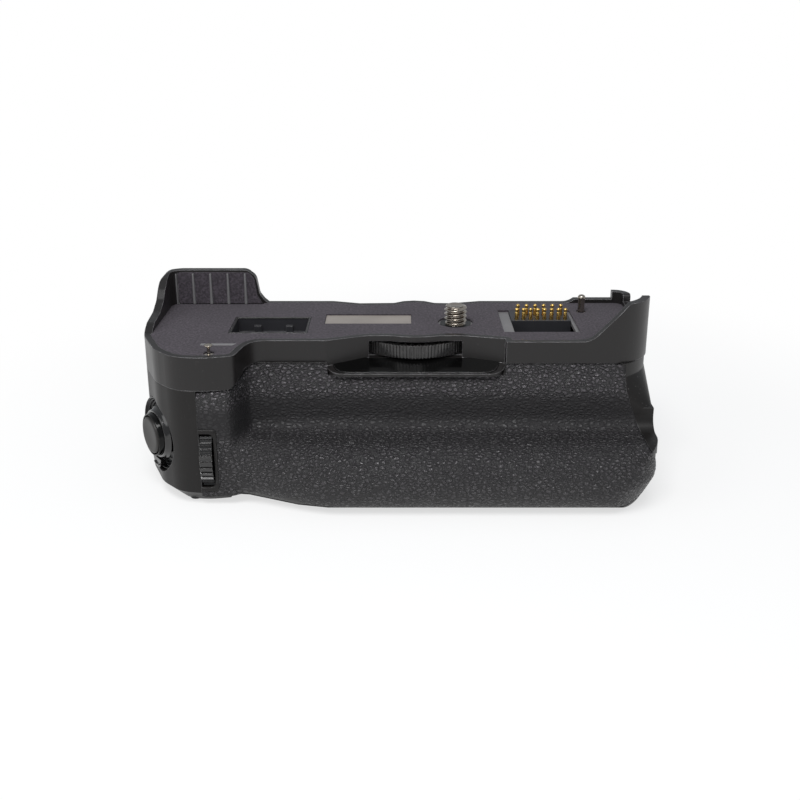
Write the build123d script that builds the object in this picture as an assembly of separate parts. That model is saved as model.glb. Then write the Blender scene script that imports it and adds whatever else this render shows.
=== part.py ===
from build123d import *
import math
import os

# Camera battery grip, in millimetres. +Z is up out of the deck, +Y points to the rear, and +X
# points away from the shutter end. The origin is the attachment screw's axis at the deck's face.

os.makedirs("parts", exist_ok=True)

# Envelope, measured from the origin
body_length = 139.8
left_reach_share = 0.61874
back_reach = 20.6
front_reach = 17.3
lobe_reach = 29.8
lobe_width = 29.3
bulge_reach = 38.0
body_height = 42.5
left_reach = body_length * left_reach_share
right_reach = body_length - left_reach

# Places along the deck: shares of the reach to the left end and to the right end
left_shares = {
    "bulge_full": 0.4046, "pocket": 0.6058, "label": 0.2879, "bay": 0.5896, "rear_dial": 0.8092,
    "control_left": 0.9064, "control_right": 0.7121, "pad_left": 0.6127, "pad_right": 0.0694,
}
right_shares = {
    "cutout_left": 0.2458, "cutout_right": 0.6435, "block_left": 0.3058, "block_right": 0.6248,
    "pin": 0.7054, "mode": 0.6754, "lamp": 0.4128,
}
# Places in the shutter end's lobe: shares of its width from the left side, and of its reach
lobe_across_shares = {
    "split": 1.0068, "bulge_start": 0.7679, "front_dial": 0.657, "shutter": 0.1297, "pin": 0.7099,
    "strip": 0.7543,
}
lobe_reach_shares = {"shutter": 0.6342, "pin": 0.8792, "strip": 0.6443}
# Levels below the deck: shares of the body's height
level_shares = {
    "throat": 0.3106, "shelf": 0.5647, "flare_top": 0.2353, "flare_bottom": 0.4235, "shutter": 0.6141,
    "front_dial": 0.6847, "rear_dial": 0.4588, "control_upper": 0.3647, "control_lower": 0.6706,
    "mode": 0.3294, "pad_top": 0.2824, "pad_bottom": 0.8824, "terminal_top": 0.3294,
    "terminal_bottom": 0.8471, "phone": 0.4706, "dc": 0.7059,
}

# Walls and general clearances
frame_wall = 1.8
casing_wall = 1.7
floor_wall = 1.9
skin_thickness = 1.0
skin_end_inset = 7.8
running_gap = 0.05
moving_gap = 0.3
seat_gap = 0.1
overrun = 5.0
corner_radius = 4.5
back_corner_radius = 6.0
end_corner_radius = 12.0

# Deck
felt_thickness = 0.6
plate_thickness = 1.0
frame_depth = 6.2
shelf_width = 1.7
shelf_thickness = 1.5
wall_height = 10.4
wall_run = 30.9
wall_thickness = 2.2
horn_height = 11.2
horn_run = 17.5
tab_height = 3.6
tab_run = 5.0
plate_top = -felt_thickness
plate_bottom = plate_top - plate_thickness

# Attachment screw, 1/4 inch, and its gear train
screw_radius = 3.175
screw_height = 5.08
screw_chamfer = 0.55
shaft_radius = 2.9
bush_wall = 1.45
bush_flange = 1.0
bush_flange_thickness = 0.25
gear_module = 0.6
pinion_teeth = 14
ring_teeth = 54
pinion_height = 2.3
gear_addendum_share = 0.8
gear_dedendum_share = 1.1
tooth_share = 0.36
tooth_foot_share = 1.25
tooth_head_share = 0.75
knurl_share = 0.5
wheel_offset_x = 11.5
wheel_radius = 18.1
wheel_height = 3.6
wheel_web = 0.8
wheel_top_gap = 0.6
knurl_count = 120
knurl_depth = 0.45
axle_radius = 2.5
hub_wall = 1.6
bracket_thickness = 0.8
bracket_gap = 0.5
bracket_margin = 4.0
bracket_post = 1.6
centre_distance = gear_module * (ring_teeth - pinion_teeth) / 2
wheel_x = -wheel_offset_x
wheel_y = math.sqrt(centre_distance**2 - wheel_offset_x**2)
wheel_top = plate_bottom - wheel_top_gap
wheel_bottom = wheel_top - wheel_height
web_top = wheel_bottom + wheel_web
bracket_top = wheel_bottom - bracket_gap
bracket_bottom = bracket_top - bracket_thickness

# Finger recesses where the wheel shows
slot_half_width = 12.9
slot_top = plate_bottom
slot_bottom = -6.4
front_recess_reach = 11.9
rear_recess_reach = 18.1
recess_half_width = 24.5
apron_reach = 19.8
apron_drop = 1.9
apron_thickness = 1.6
rear_apron_drop = 3.2

# Casing sections
brow_reach = 17.6
brow_depth = 8.2
throat_reach = 20.2
throat_depth = body_height * level_shares["throat"]
shelf_depth = body_height * level_shares["shelf"]
flare_top = body_height * level_shares["flare_top"]
flare_bottom = body_height * level_shares["flare_bottom"]
crest_radius = 8.8
toe_radius = 9.5
throat_radius = 4.0
heel_radius = 3.0
lobe_foot_chamfer = 3.8
split_x = -left_reach + lobe_width * lobe_across_shares["split"]
bulge_start_x = -left_reach + lobe_width * lobe_across_shares["bulge_start"]
bulge_full_x = -left_reach * left_shares["bulge_full"]
bulge_corner_radius = 13.0
bulge_sole_radius = 26.0
lobe_frame_depth = 9.3

# Pocket for the camera's contact cap
pocket_length = 20.4
pocket_width = 13.2
pocket_depth = 4.2
pocket_wall = 0.8
pocket_x = -left_reach * left_shares["pocket"]
pocket_y = -2.6
clip_spread = 9.2
clip_length = 2.0
clip_height = 1.9
clip_thickness = 0.9

# Label plate and its window in the felt
label_x = -left_reach * left_shares["label"]
label_y = 3.0
label_length = 24.6
label_width = 8.6
label_thickness = 0.25

# Electrical connector
cutout_left = right_reach * right_shares["cutout_left"]
cutout_right = right_reach * right_shares["cutout_right"]
cutout_front = 8.8
cutout_back = 11.2
block_left = right_reach * right_shares["block_left"]
block_right = right_reach * right_shares["block_right"]
block_front = 1.4
block_depth = 6.0
block_floor = 1.0
pin_radius = 0.55
pin_rise = 3.3
pin_travel = 0.8
pin_gap = 0.15
front_pins = 8
front_pitch_share = 0.1176
front_pin_y = 2.9
back_pins = 6
back_pitch_share = 0.147
back_pin_y = 6.8
block_length = block_right - block_left
front_pin_pitch = block_length * front_pitch_share
back_pin_pitch = block_length * back_pitch_share
connector_x = (block_left + block_right) / 2

# Locating pins
locating_radius = 1.15
locating_shoulder = 0.2
right_pin_x = right_reach * right_shares["pin"]
right_pin_y = 10.2
right_pin_height = 5.15
left_pin_x = -left_reach + lobe_width * lobe_across_shares["pin"]
left_pin_y = -lobe_reach * lobe_reach_shares["pin"]
left_pin_height = 2.6
locating_root = 3.0
strip_x = -left_reach + lobe_width * lobe_across_shares["strip"]
strip_y = -lobe_reach * lobe_reach_shares["strip"]
strip_length = 9.6
strip_width = 1.5

# Ribs on the inside of the raised wall
rib_count = 5
rib_pitch = 5.2
rib_width = 0.9
rib_proud = 0.5
rib_inset = 3.4
liner_thickness = 0.5
liner_top = 9.6

# Battery bay, tray and batteries
bay_wall = 0.8
bay_floor_wall = 0.6
battery_width = 35.0
battery_height = 15.5
battery_share = 0.4855
battery_edge = 1.6
battery_gap = 0.15
tray_gap = 0.3
tray_floor = 0.8
tray_end = 1.2
tray_divider = 1.0
door_thickness = 2.9
door_margin = 1.4
door_gap = 0.2
bay_left = left_reach * left_shares["bay"]
bay_back = back_reach - casing_wall - bay_wall - seat_gap
bay_front = battery_width + tray_gap * 2 - bay_back
bay_floor = body_height - floor_wall - bay_floor_wall - seat_gap * 2
bay_roof = bay_floor - battery_height - tray_floor - tray_gap * 2 - seat_gap
latch_length = 6.0
latch_height = 5.0
latch_proud = 0.3
latch_recess = 1.3
latch_travel = 3.0
latch_stem = 2.0
contact_count = 4
contact_pitch = 4.5
contact_width = 2.2
contact_thickness = 0.3
contact_height = 5.0
board_thickness = 1.2
board_depth = 10.4
board_post = 1.6
chip_height = 1.4

# Shutter button on the lobe's front corner
shutter_x = -left_reach + lobe_width * lobe_across_shares["shutter"]
shutter_y = -lobe_reach * lobe_reach_shares["shutter"]
shutter_z = -body_height * level_shares["shutter"]
shutter_heading = 216.0
collar_radius = 10.5
collar_depth = 4.4
collar_sink = 1.3
collar_floor = 1.0
sleeve_radius = 5.9
sleeve_wall = 0.4
sleeve_rise = 3.2
cap_radius = 5.15
cap_rise = 2.3
cap_drop = 0.5
cap_dome = 0.5
stem_radius = 2.0
shutter_travel = 1.0
ring_radius = 7.6
ring_thickness = 1.6
ring_tab_reach = 10.0
ring_tab_width = 5.0
switch_size = 6.0
switch_depth = 2.2

# Dials
dial_width = 3.3
dial_axle_radius = 1.5
dial_notches = 40
dial_notch_depth = 0.5
dial_arm = 1.0
dial_arm_width = 6.0
front_dial_share = 0.2635
front_dial_inset = 9.2
bezel_left = 1.9
bezel_right = 2.9
bezel_share = 0.804
bezel_depth = 1.2
bezel_proud = 0.4
opening_share = 0.692
rear_dial_share = 0.2353
rear_dial_inset = 8.7
front_dial_radius = body_height * front_dial_share
front_dial_x = -left_reach + lobe_width * lobe_across_shares["front_dial"]
front_dial_y = -lobe_reach + front_dial_inset
front_dial_z = -body_height * level_shares["front_dial"]
bezel_half_height = front_dial_radius * bezel_share
bezel_front = lobe_reach + bezel_proud
opening_half_height = front_dial_radius * opening_share
rear_dial_radius = body_height * rear_dial_share
rear_dial_x = -left_reach * left_shares["rear_dial"]
rear_dial_y = back_reach - rear_dial_inset
rear_dial_z = -body_height * level_shares["rear_dial"]

# Rear controls
button_radius = 2.6
button_proud = 0.9
button_flange = 0.7
button_drop = 1.3
control_left_x = -left_reach * left_shares["control_left"]
control_right_x = -left_reach * left_shares["control_right"]
control_upper_z = -body_height * level_shares["control_upper"]
control_lower_z = -body_height * level_shares["control_lower"]
stick_radius = 1.9
stick_proud = 2.4
stick_cup_radius = 4.6
stick_ball_radius = 2.6
control_board_inset = 5.3
control_board_y = back_reach - control_board_inset
control_board_thickness = 0.9
control_board_margin = 5.6
control_post_radius = 0.8
mode_x = right_reach * right_shares["mode"]
mode_z = -body_height * level_shares["mode"]
mode_travel = 4.0
mode_length = 5.0
mode_height = 3.0
lamp_x = right_reach * right_shares["lamp"]
lamp_pitch = 5.0
lamp_radius = 0.9
rear_pad_left = left_reach * left_shares["pad_left"]
rear_pad_right = left_reach * left_shares["pad_right"]
rear_pad_top = body_height * level_shares["pad_top"]
rear_pad_bottom = body_height * level_shares["pad_bottom"]
rear_pad_sink = 0.7
rear_pad_proud = 0.8
rear_pad_radius = 6.0

# Terminals on the left end
terminal_front = 3.0
terminal_back = 11.9
terminal_top = body_height * level_shares["terminal_top"]
terminal_bottom = body_height * level_shares["terminal_bottom"]
terminal_thickness = 1.1
terminal_barrel = 0.8
terminal_pin = 0.4
jack_y = 4.5
phone_z = -body_height * level_shares["phone"]
phone_radius = 1.75
dc_z = -body_height * level_shares["dc"]
dc_radius = 2.1
jack_body = 7.6
jack_depth = 11.0

# Tripod socket, 1/4 inch
socket_radius = 3.175
socket_wall = 1.6
socket_flange = 3.0
socket_depth = 6.5
socket_flange_thickness = 1.2

# Fasteners
screw_head_radius = 1.7
screw_head_height = 0.7
screw_shank_radius = 0.8
screw_length = 4.0


def block(x_low, x_high, y_low, y_high, z_low, z_high):
    """A box between two opposite corners."""
    corner = Pos(x_low, y_low, z_low)
    aligned = (Align.MIN, Align.MIN, Align.MIN)
    return corner * Box(x_high - x_low, y_high - y_low, z_high - z_low, align=aligned)


def upright(x, y, radius, low, high):
    """A round bar along Z."""
    aligned = (Align.CENTER, Align.CENTER, Align.MIN)
    return Pos(x, y, low) * Cylinder(radius, high - low, align=aligned)


def lengthwise(y, z, radius, low, high):
    """A round bar along X."""
    aligned = (Align.CENTER, Align.CENTER, Align.MIN)
    return Pos(low, y, z) * Rot(0, 90, 0) * Cylinder(radius, high - low, align=aligned)


def crosswise(x, z, radius, low, high):
    """A round bar along Y."""
    aligned = (Align.CENTER, Align.CENTER, Align.MIN)
    return Pos(x, low, z) * Rot(-90, 0, 0) * Cylinder(radius, high - low, align=aligned)


def outline(corners):
    """A face from corners, each given as two coordinates and a rounding radius."""
    places = [(corner[0], corner[1]) for corner in corners]
    return make_face(FilletPolyline(*places, radius=[corner[2] for corner in corners], close=True))


def slab(face, low, high):
    """A face drawn in plan, made solid between two heights."""
    return Pos(0, 0, low) * extrude(face, amount=high - low, dir=(0, 0, 1))


def along_x(corners, low, high):
    """A face drawn as (Y, Z) corners, made solid between two X values."""
    face = Pos(low, 0, 0) * (Plane.YZ * outline(corners))
    return extrude(face, amount=high - low, dir=(1, 0, 0))


def along_y(corners, low, high):
    """A face drawn as (X, Z) corners, made solid between two Y values."""
    face = Pos(0, low, 0) * (Plane.XZ * outline(corners))
    return extrude(face, amount=high - low, dir=(0, 1, 0))


def write(name, shape):
    """Writes one node."""
    export_step(shape, f"parts/{name}.step")


# Plan outlines: shares of the size that each group of corners follows

# Shares of the lobe's width from its left side, of its reach, and of its size for the radius
lobe_shares = (
    (0.0, 0.37, 0.41),
    (0.19, 0.772, 0.41),
    (0.392, 0.97, 0.34),
    (0.648, 1.007, 0.68),
    (0.939, 0.95, 0.1),
)
# The lobe's foot where it meets the deck's front edge: how far out it starts, and its radius
lobe_root_shares = (0.2483, 0.27)
# Shares of the slot's half width from the wheel, of the recess's depth, and of half width
front_recess_shares = (
    (-1.9, 0.0, 0.15),
    (-1.0, 1.0, 0.0),
    (-0.53, 1.0, 0.08),
    (-0.32, 0.8, 0.15),
    (0.0, 0.68, 0.0),
    (0.32, 0.8, 0.15),
    (0.53, 1.0, 0.08),
    (1.0, 1.0, 0.0),
    (1.89, 0.35, 0.0),
)
rear_recess_shares = (
    (1.54, 0.0, 0.15),
    (0.86, 0.92, 0.08),
    (0.47, 0.8, 0.15),
    (0.25, 0.04, 0.15),
    (0.0, -0.2, 0.0),
    (-0.25, 0.04, 0.15),
    (-0.47, 0.8, 0.15),
    (-1.27, 0.95, 0.15),
    (-1.9, 0.0, 0.15),
)
front_edge_drop_share = 0.07


def lobe_corners():
    """The lobe's front, from its left side to where it joins the deck's front edge."""
    corners = []
    lobe_size = min(lobe_width, lobe_reach)
    for across_share, reach_share, radius_share in lobe_shares:
        corner_x = -left_reach + across_share * lobe_width
        corners.append((corner_x, -reach_share * lobe_reach, radius_share * lobe_size))
    left_front = front_reach * (1 - front_edge_drop_share)
    root_reach = left_front + lobe_root_shares[0] * (lobe_reach - left_front)
    corners.append((-left_reach + lobe_width, -root_reach, lobe_root_shares[1] * lobe_size))
    corners.append((split_x + corner_radius / 2, -left_front, corner_radius))
    return corners


def recess_corners(shares, reach, recess_reach, direction):
    """The finger recess's corners on the front (-1) or the rear (+1) of the deck."""
    corners = []
    for across_share, depth_share, radius_share in shares:
        corner_x = wheel_x + across_share * slot_half_width
        corner_y = direction * (reach - depth_share * (reach - recess_reach))
        corners.append((corner_x, corner_y, radius_share * slot_half_width))
    return corners


def deck_plan():
    """The deck's outline with both finger recesses."""
    left_front = front_reach * (1 - front_edge_drop_share)
    corners = [(-left_reach, back_reach, back_corner_radius)]
    corners += lobe_corners()
    corners += recess_corners(front_recess_shares, left_front, front_recess_reach, -1)
    last_x = corners[-1][0]
    corners.append((last_x + seat_gap, -front_reach, 0))
    corners.append((right_reach, -front_reach, end_corner_radius))
    corners.append((right_reach, back_reach, corner_radius))
    corners += recess_corners(rear_recess_shares, back_reach, rear_recess_reach, 1)
    return outline(corners)


def lobe_plan(inset):
    """The shutter end's plan, which runs on under the grip as far as the first full section."""
    corners = [(-left_reach, back_reach, back_corner_radius)]
    corners += lobe_corners()
    corners[-1] = (split_x + corner_radius / 2, -front_reach, 0)
    corners.append((split_x + corner_radius / 2, back_reach, 0))
    face = outline(corners)
    return offset(face, amount=-inset) if inset > 0 else face


def section(bulge, front_in, rear_in, floor_in):
    """The casing's section square to X, with its front, rear and floor drawn in."""
    width = bulge - throat_reach
    full = bulge_reach - throat_reach
    growth = min(1, width / full * growth_lead_share)
    crest = crest_radius * growth
    throat = throat_radius * growth
    floor = -body_height + floor_in
    front = -(bulge - front_in)
    throat_front = -(throat_reach - front_in)
    brow = -(brow_reach - front_in)
    corners = [
        (back_reach - rear_in, -frame_depth, 0),
        (back_reach - rear_in, floor, heel_radius - floor_in / 2),
        (front, floor, toe_radius - front_in),
        (front, -shelf_depth - front_in, crest - front_in),
        (throat_front, -shelf_depth - front_in, throat + front_in),
        (throat_front, -throat_depth, corner_radius),
        (brow, -brow_depth, corner_radius / 2),
        (brow, -frame_depth, 0),
    ]
    return outline(corners)


# How far the crest and throat radii run ahead of the bulge as it grows
growth_lead_share = 1.1
# Places along X, and how far the bulge has grown there
bulge_shares = ((0.0, 0.0), (0.24, 0.1), (0.48, 0.45), (0.72, 0.8), (1.0, 1.0))


# The end's radius at the foot of its flare, as a share of the radius that meets the frame
flare_foot_share = 0.2


def casing(front_in, side_in, floor_in, rear_in, foot_in):
    """The closed body below the frame, drawn in by the given walls."""
    sections = []
    for place_share, bulge_share in bulge_shares:
        x = bulge_start_x + place_share * (bulge_full_x - bulge_start_x)
        reach = lobe_reach + bulge_share * (bulge_reach - lobe_reach)
        sections.append(Pos(x, 0, 0) * (Plane.YZ * section(reach, front_in, rear_in, floor_in)))
    solid = loft(sections, ruled=True)
    full_length = right_reach - bulge_full_x
    solid += extrude(sections[-1], amount=full_length, dir=(1, 0, 0))
    end = right_reach - side_in
    # The bulge's end corner grows rounder from the toe down to the sole
    toe_top = -body_height + toe_radius
    sole_radius = bulge_corner_radius + (bulge_sole_radius - bulge_corner_radius) * (1 + overrun / toe_radius)
    ends = []
    for height, radius in ((toe_top, bulge_corner_radius), (-body_height - overrun, sole_radius)):
        corners = [
            (bulge_start_x - overrun, -bulge_reach - overrun, 0),
            (end - sole_radius - overrun, -bulge_reach - overrun, 0),
            (end - sole_radius - overrun, -bulge_reach + front_in, 0),
            (end, -bulge_reach + front_in, radius - side_in),
            (end, back_reach - rear_in, corner_radius - rear_in),
            (bulge_start_x - overrun, back_reach - rear_in, 0),
        ]
        ends.append(Pos(0, 0, height) * outline(corners))
    lower = Pos(0, 0, -toe_top) * ends[0]
    # Flush with the deck's corner on the diagonal, although the throat stands further out
    flush_radius = end_corner_radius + (throat_reach - front_reach) / (2 - math.sqrt(2)) - side_in
    plans = []
    for height, radius in ((-flare_bottom, flush_radius * flare_foot_share), (-flare_top, flush_radius)):
        corners = [
            (bulge_start_x - overrun, -throat_reach + front_in, 0),
            (end, -throat_reach + front_in, radius),
            (end, back_reach - rear_in, corner_radius - rear_in),
            (bulge_start_x - overrun, back_reach - rear_in, 0),
        ]
        plans.append(Pos(0, 0, height) * outline(corners))
    mould = loft(ends, ruled=True) + slab(lower, toe_top, -flare_bottom) + loft(plans, ruled=True)
    solid &= mould + slab(Pos(0, 0, flare_top) * plans[-1], -flare_top, 0)
    foot_plan = lobe_plan(foot_in)
    foot_top = -body_height + lobe_foot_chamfer + (math.sqrt(2) - 1) * foot_in
    foot = slab(foot_plan, foot_top, -frame_depth)
    sole = extrude(foot_plan, amount=foot_top + body_height - floor_in, dir=(0, 0, -1), taper=45)
    return solid + foot + Pos(0, 0, foot_top) * sole


def gear_face(count, root, tip, share):
    """A toothed face: flat-topped teeth that take a share of the pitch, the first one on +X."""
    points = []
    step = 360 / count
    for number in range(count):
        middle = number * step
        for radius, width in (
            (root, -share * tooth_foot_share),
            (tip, -share * tooth_head_share),
            (tip, share * tooth_head_share),
            (root, share * tooth_foot_share),
        ):
            angle = math.radians(middle + width * step / 2)
            points.append((radius * math.cos(angle), radius * math.sin(angle)))
    return make_face(Polyline(*points, close=True))


def fasteners(places, head_z, rising):
    """Pan-headed screws: heads on head_z, shanks going up or down from it."""
    solids = []
    for x, y in places:
        if rising:
            head = upright(x, y, screw_head_radius, head_z, head_z + screw_head_height)
            shank_low = head_z + screw_head_height
            shank = upright(x, y, screw_shank_radius, shank_low, shank_low + screw_length)
        else:
            head = upright(x, y, screw_head_radius, head_z - screw_head_height, head_z)
            shank_high = head_z - screw_head_height
            shank = upright(x, y, screw_shank_radius, shank_high - screw_length, shank_high)
        solids.append(head + shank)
    return solids


def cut_all(shape, tools):
    """The shape less each tool."""
    for tool in tools:
        shape = shape - tool
    return shape


def keep_solids(shape):
    """A group of separate solids, written as one node."""
    return Compound(children=list(shape.solids()))


# Wheel, its axle and its bracket
mesh_heading = math.degrees(math.atan2(-wheel_y, -wheel_x))
ring_pitch = gear_module * ring_teeth / 2
ring_tip = ring_pitch - gear_module * gear_addendum_share
ring_root = ring_pitch + gear_module * gear_dedendum_share
pinion_pitch = gear_module * pinion_teeth / 2
pinion_tip = pinion_pitch + gear_module * gear_addendum_share
pinion_root = pinion_pitch - gear_module * gear_dedendum_share

knurl = gear_face(knurl_count, wheel_radius - knurl_depth, wheel_radius, knurl_share)
attachment_wheel = slab(knurl, wheel_bottom, wheel_top)
# The gap between two ring teeth points at the screw
ring_turn = mesh_heading
ring_space = gear_face(ring_teeth, ring_tip, ring_root, 1 - tooth_share)
attachment_wheel -= Rot(0, 0, ring_turn) * slab(ring_space, web_top, wheel_top + overrun)
attachment_wheel += upright(0, 0, axle_radius + running_gap + hub_wall, web_top, wheel_top)
attachment_wheel -= upright(0, 0, axle_radius + running_gap, wheel_bottom - overrun, wheel_top + overrun)
attachment_wheel = Pos(wheel_x, wheel_y, 0) * attachment_wheel
write("attachment_wheel", attachment_wheel)

wheel_axle = upright(wheel_x, wheel_y, axle_radius, bracket_bottom, plate_bottom)
axle_head = upright(wheel_x, wheel_y, axle_radius + hub_wall, bracket_bottom - wheel_web, bracket_bottom)
wheel_axle += axle_head
write("wheel_axle", wheel_axle)

bracket_half = wheel_radius + bracket_margin
wheel_bracket = block(
    wheel_x - bracket_half, wheel_x + bracket_half, -front_recess_reach + frame_wall + moving_gap,
    rear_recess_reach - frame_wall - moving_gap, bracket_bottom, bracket_top
)
post_places = [
    (wheel_x + side * (bracket_half - bracket_post), wheel_y + lean * axle_radius * 2)
    for side in (-1, 1)
    for lean in (-1, 1)
]
for post_x, post_y in post_places:
    wheel_bracket += upright(post_x, post_y, bracket_post, bracket_bottom, plate_bottom)
wheel_bracket -= upright(wheel_x, wheel_y, axle_radius, bracket_bottom - overrun, bracket_top + overrun)
write("wheel_bracket", wheel_bracket)

# Attachment screw with its pinion, in a bush
bush_bottom = plate_bottom - bush_flange_thickness
bush_top = plate_top + felt_thickness / 2
bush_radius = shaft_radius + bush_wall
pinion_top = bush_bottom - wheel_top_gap / 3
pinion_bottom = pinion_top - pinion_height
thread_bottom = bush_top + running_gap
attachment_screw = upright(0, 0, screw_radius, thread_bottom, screw_height)
attachment_screw = chamfer(attachment_screw.faces().sort_by(Axis.Z)[-1].edges(), screw_chamfer)
attachment_screw += upright(0, 0, shaft_radius, pinion_top, thread_bottom)
pinion = slab(gear_face(pinion_teeth, pinion_root, pinion_tip, tooth_share), pinion_bottom, pinion_top)
attachment_screw += Rot(0, 0, mesh_heading) * pinion
write("attachment_screw", attachment_screw)

screw_bush = upright(0, 0, bush_radius, plate_bottom, bush_top)
screw_bush += upright(0, 0, bush_radius + bush_flange, bush_bottom, plate_bottom)
screw_bush -= upright(0, 0, shaft_radius + running_gap, bush_bottom - overrun, bush_top + overrun)
write("screw_bush", screw_bush)

# Deck: frame, plate, felt and what they carry
deck_face = deck_plan()
inner_face = offset(deck_face, amount=-frame_wall)
shelf_face = offset(deck_face, amount=-frame_wall - shelf_width)

frame = slab(deck_face, -frame_depth, 0) - slab(inner_face, -frame_depth - overrun, overrun)
lobe_ring = slab(lobe_plan(0), -lobe_frame_depth, -frame_depth)
lobe_ring -= slab(lobe_plan(frame_wall), -lobe_frame_depth - overrun, overrun)
# Its lower edge rises in a curve to the front wall's
lobe_drop = lobe_frame_depth - frame_depth
lobe_edge = [
    (-left_reach - overrun, overrun, 0),
    (-left_reach - overrun, -lobe_frame_depth, 0),
    (split_x - lobe_drop, -lobe_frame_depth, lobe_drop),
    (split_x, -frame_depth, 0),
    (split_x, overrun, 0),
]
lobe_ring &= along_y(lobe_edge, -lobe_reach - overrun, back_reach)
frame += lobe_ring

shelf = slab(inner_face, plate_bottom - shelf_thickness, plate_bottom)
shelf -= slab(shelf_face, plate_bottom - shelf_thickness - overrun, overrun)
frame += shelf

# Recess walls and the sloping apron below the wheel
half_apron = recess_half_width
apron_corner_share = 0.93
apron = along_x(
    [
        (-front_recess_reach + frame_wall, slot_bottom, 0),
        (-front_recess_reach, slot_bottom, 0),
        (-apron_reach, slot_bottom - apron_drop, 0.0),
        (-apron_reach, slot_bottom - apron_drop - apron_thickness / 2, 0),
        (-front_recess_reach + frame_wall, slot_bottom - apron_drop - apron_thickness, 0),
    ],
    wheel_x - half_apron,
    wheel_x + half_apron,
)
apron_plan = outline(
    [
        (wheel_x - half_apron, -front_recess_reach + frame_wall, 0),
        (wheel_x - half_apron, -brow_reach + frame_wall, 0),
        (wheel_x - half_apron * apron_corner_share, -apron_reach, corner_radius),
        (wheel_x + half_apron * apron_corner_share, -apron_reach, corner_radius),
        (wheel_x + half_apron, -brow_reach + frame_wall, 0),
        (wheel_x + half_apron, -front_recess_reach + frame_wall, 0),
    ]
)
apron &= slab(apron_plan, -brow_depth - overrun, 0)
recess_block = slab(deck_face, slot_bottom - apron_drop, -frame_depth)
recess_block -= slab(inner_face, -brow_depth - overrun, 0)
recess_block &= block(
    wheel_x - half_apron, wheel_x + half_apron, -apron_reach, 0, slot_bottom - apron_drop, 0
)
frame += apron + recess_block

# Slots for the wheel, front and rear
wheel_well = upright(wheel_x, wheel_y, wheel_radius + frame_wall / 2, bracket_top, slot_top)
frame -= wheel_well
frame -= block(
    wheel_x - slot_half_width, wheel_x + slot_half_width, -front_reach, 0, slot_bottom, slot_top
)
frame -= block(
    wheel_x - slot_half_width, wheel_x + slot_half_width, 0, back_reach + overrun, slot_bottom, slot_top
)

# Raised wall at the rear of the shutter end, and the horn and tab at the far end
wall_ring = slab(deck_face, -felt_thickness, wall_height)
wall_ring -= slab(offset(deck_face, amount=-wall_thickness), -overrun, wall_height + overrun)
# Shares of the wall's run back from its front end, of its height, and of its height for the radius
side_rise_shares = (
    (0.0, 0.0, 0.0), (0.13, 0.18, 0.4), (0.37, 0.25, 0.5), (0.53, 0.44, 0.3), (0.62, 0.69, 0.3),
    (0.73, 0.9, 0.3), (0.85, 1.0, 0.3)
)
wall_front_share = 0.5
wall_front_y = -back_reach * wall_front_share
wall_depth = back_reach - wall_front_y
side_profile = [
    (wall_front_y + run_share * wall_depth, rise_share * wall_height, radius_share * wall_height)
    for run_share, rise_share, radius_share in side_rise_shares
]
side_profile.append((back_reach + overrun, wall_height, 0))
side_profile.append((back_reach + overrun, -overrun, 0))
side_profile.append((wall_front_y, -overrun, 0))
# Shares of the wall's run in from the shutter end, and of its height
end_drop_shares = (
    (0.8, 1.0, 0.1), (0.885, 0.8, 0.1), (0.915, 0.28, 0.07), (0.96, 0.1, 0.03), (1.0, 0.0, 0.0)
)
end_profile = [(-left_reach, -overrun, 0), (-left_reach, wall_height, corner_radius / 2)]
for run_share, rise_share, radius_share in end_drop_shares:
    corner_x = -left_reach + run_share * wall_run
    end_profile.append((corner_x, rise_share * wall_height, radius_share * wall_run))
end_profile.append((-left_reach + wall_run, -overrun, 0))
raised_wall = wall_ring & along_x(side_profile, -left_reach - overrun, 0)
raised_wall &= along_y(end_profile, -lobe_reach, back_reach + overrun)
frame += raised_wall

horn_left = right_reach - horn_run
# Shares of the horn's run from its foot, of its height, and of its run for the radius
horn_rise_shares = ((0.0, 0.0, 0.3), (0.57, 0.93, 0.12), (0.83, 1.0, 0.04), (0.96, 0.93, 0.04))
horn_profile = [(horn_left - overrun, -overrun, 0), (horn_left - overrun, 0, 0)]
for run_share, rise_share, radius_share in horn_rise_shares:
    corner_x = horn_left + run_share * horn_run
    horn_profile.append((corner_x, rise_share * horn_height, radius_share * horn_run))
horn_profile.append((right_reach + overrun, horn_height / 2, 0))
horn_profile.append((right_reach + overrun, -overrun, 0))
# Shares of the front reach back from the horn, of its height, and of its run for the radius
horn_fall_shares = ((0.5, 1.0, 0.1), (0.25, 0.3, 0.15))
horn_side = [(-front_reach - overrun, -overrun, 0), (-front_reach - overrun, horn_height, 0)]
for reach_share, rise_share, radius_share in horn_fall_shares:
    corner_y = -front_reach * reach_share
    horn_side.append((corner_y, rise_share * horn_height, radius_share * horn_run))
horn_side.append((0, tab_height / 3, 0))
horn_side.append((back_reach + overrun, tab_height / 3, 0))
horn_side.append((back_reach + overrun, -overrun, 0))
horn = wall_ring & along_y(horn_profile, -front_reach - overrun, back_reach + overrun)
horn &= along_x(horn_side, horn_left - overrun, right_reach + overrun)
tab_side = [
    (back_reach - tab_run, -overrun, 0),
    (back_reach - tab_run, tab_height, tab_height / 3),
    (back_reach + overrun, tab_height, 0),
    (back_reach + overrun, -overrun, 0),
]
horn += wall_ring & along_x(tab_side, right_reach - tab_run, right_reach + overrun)
frame += horn

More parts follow.
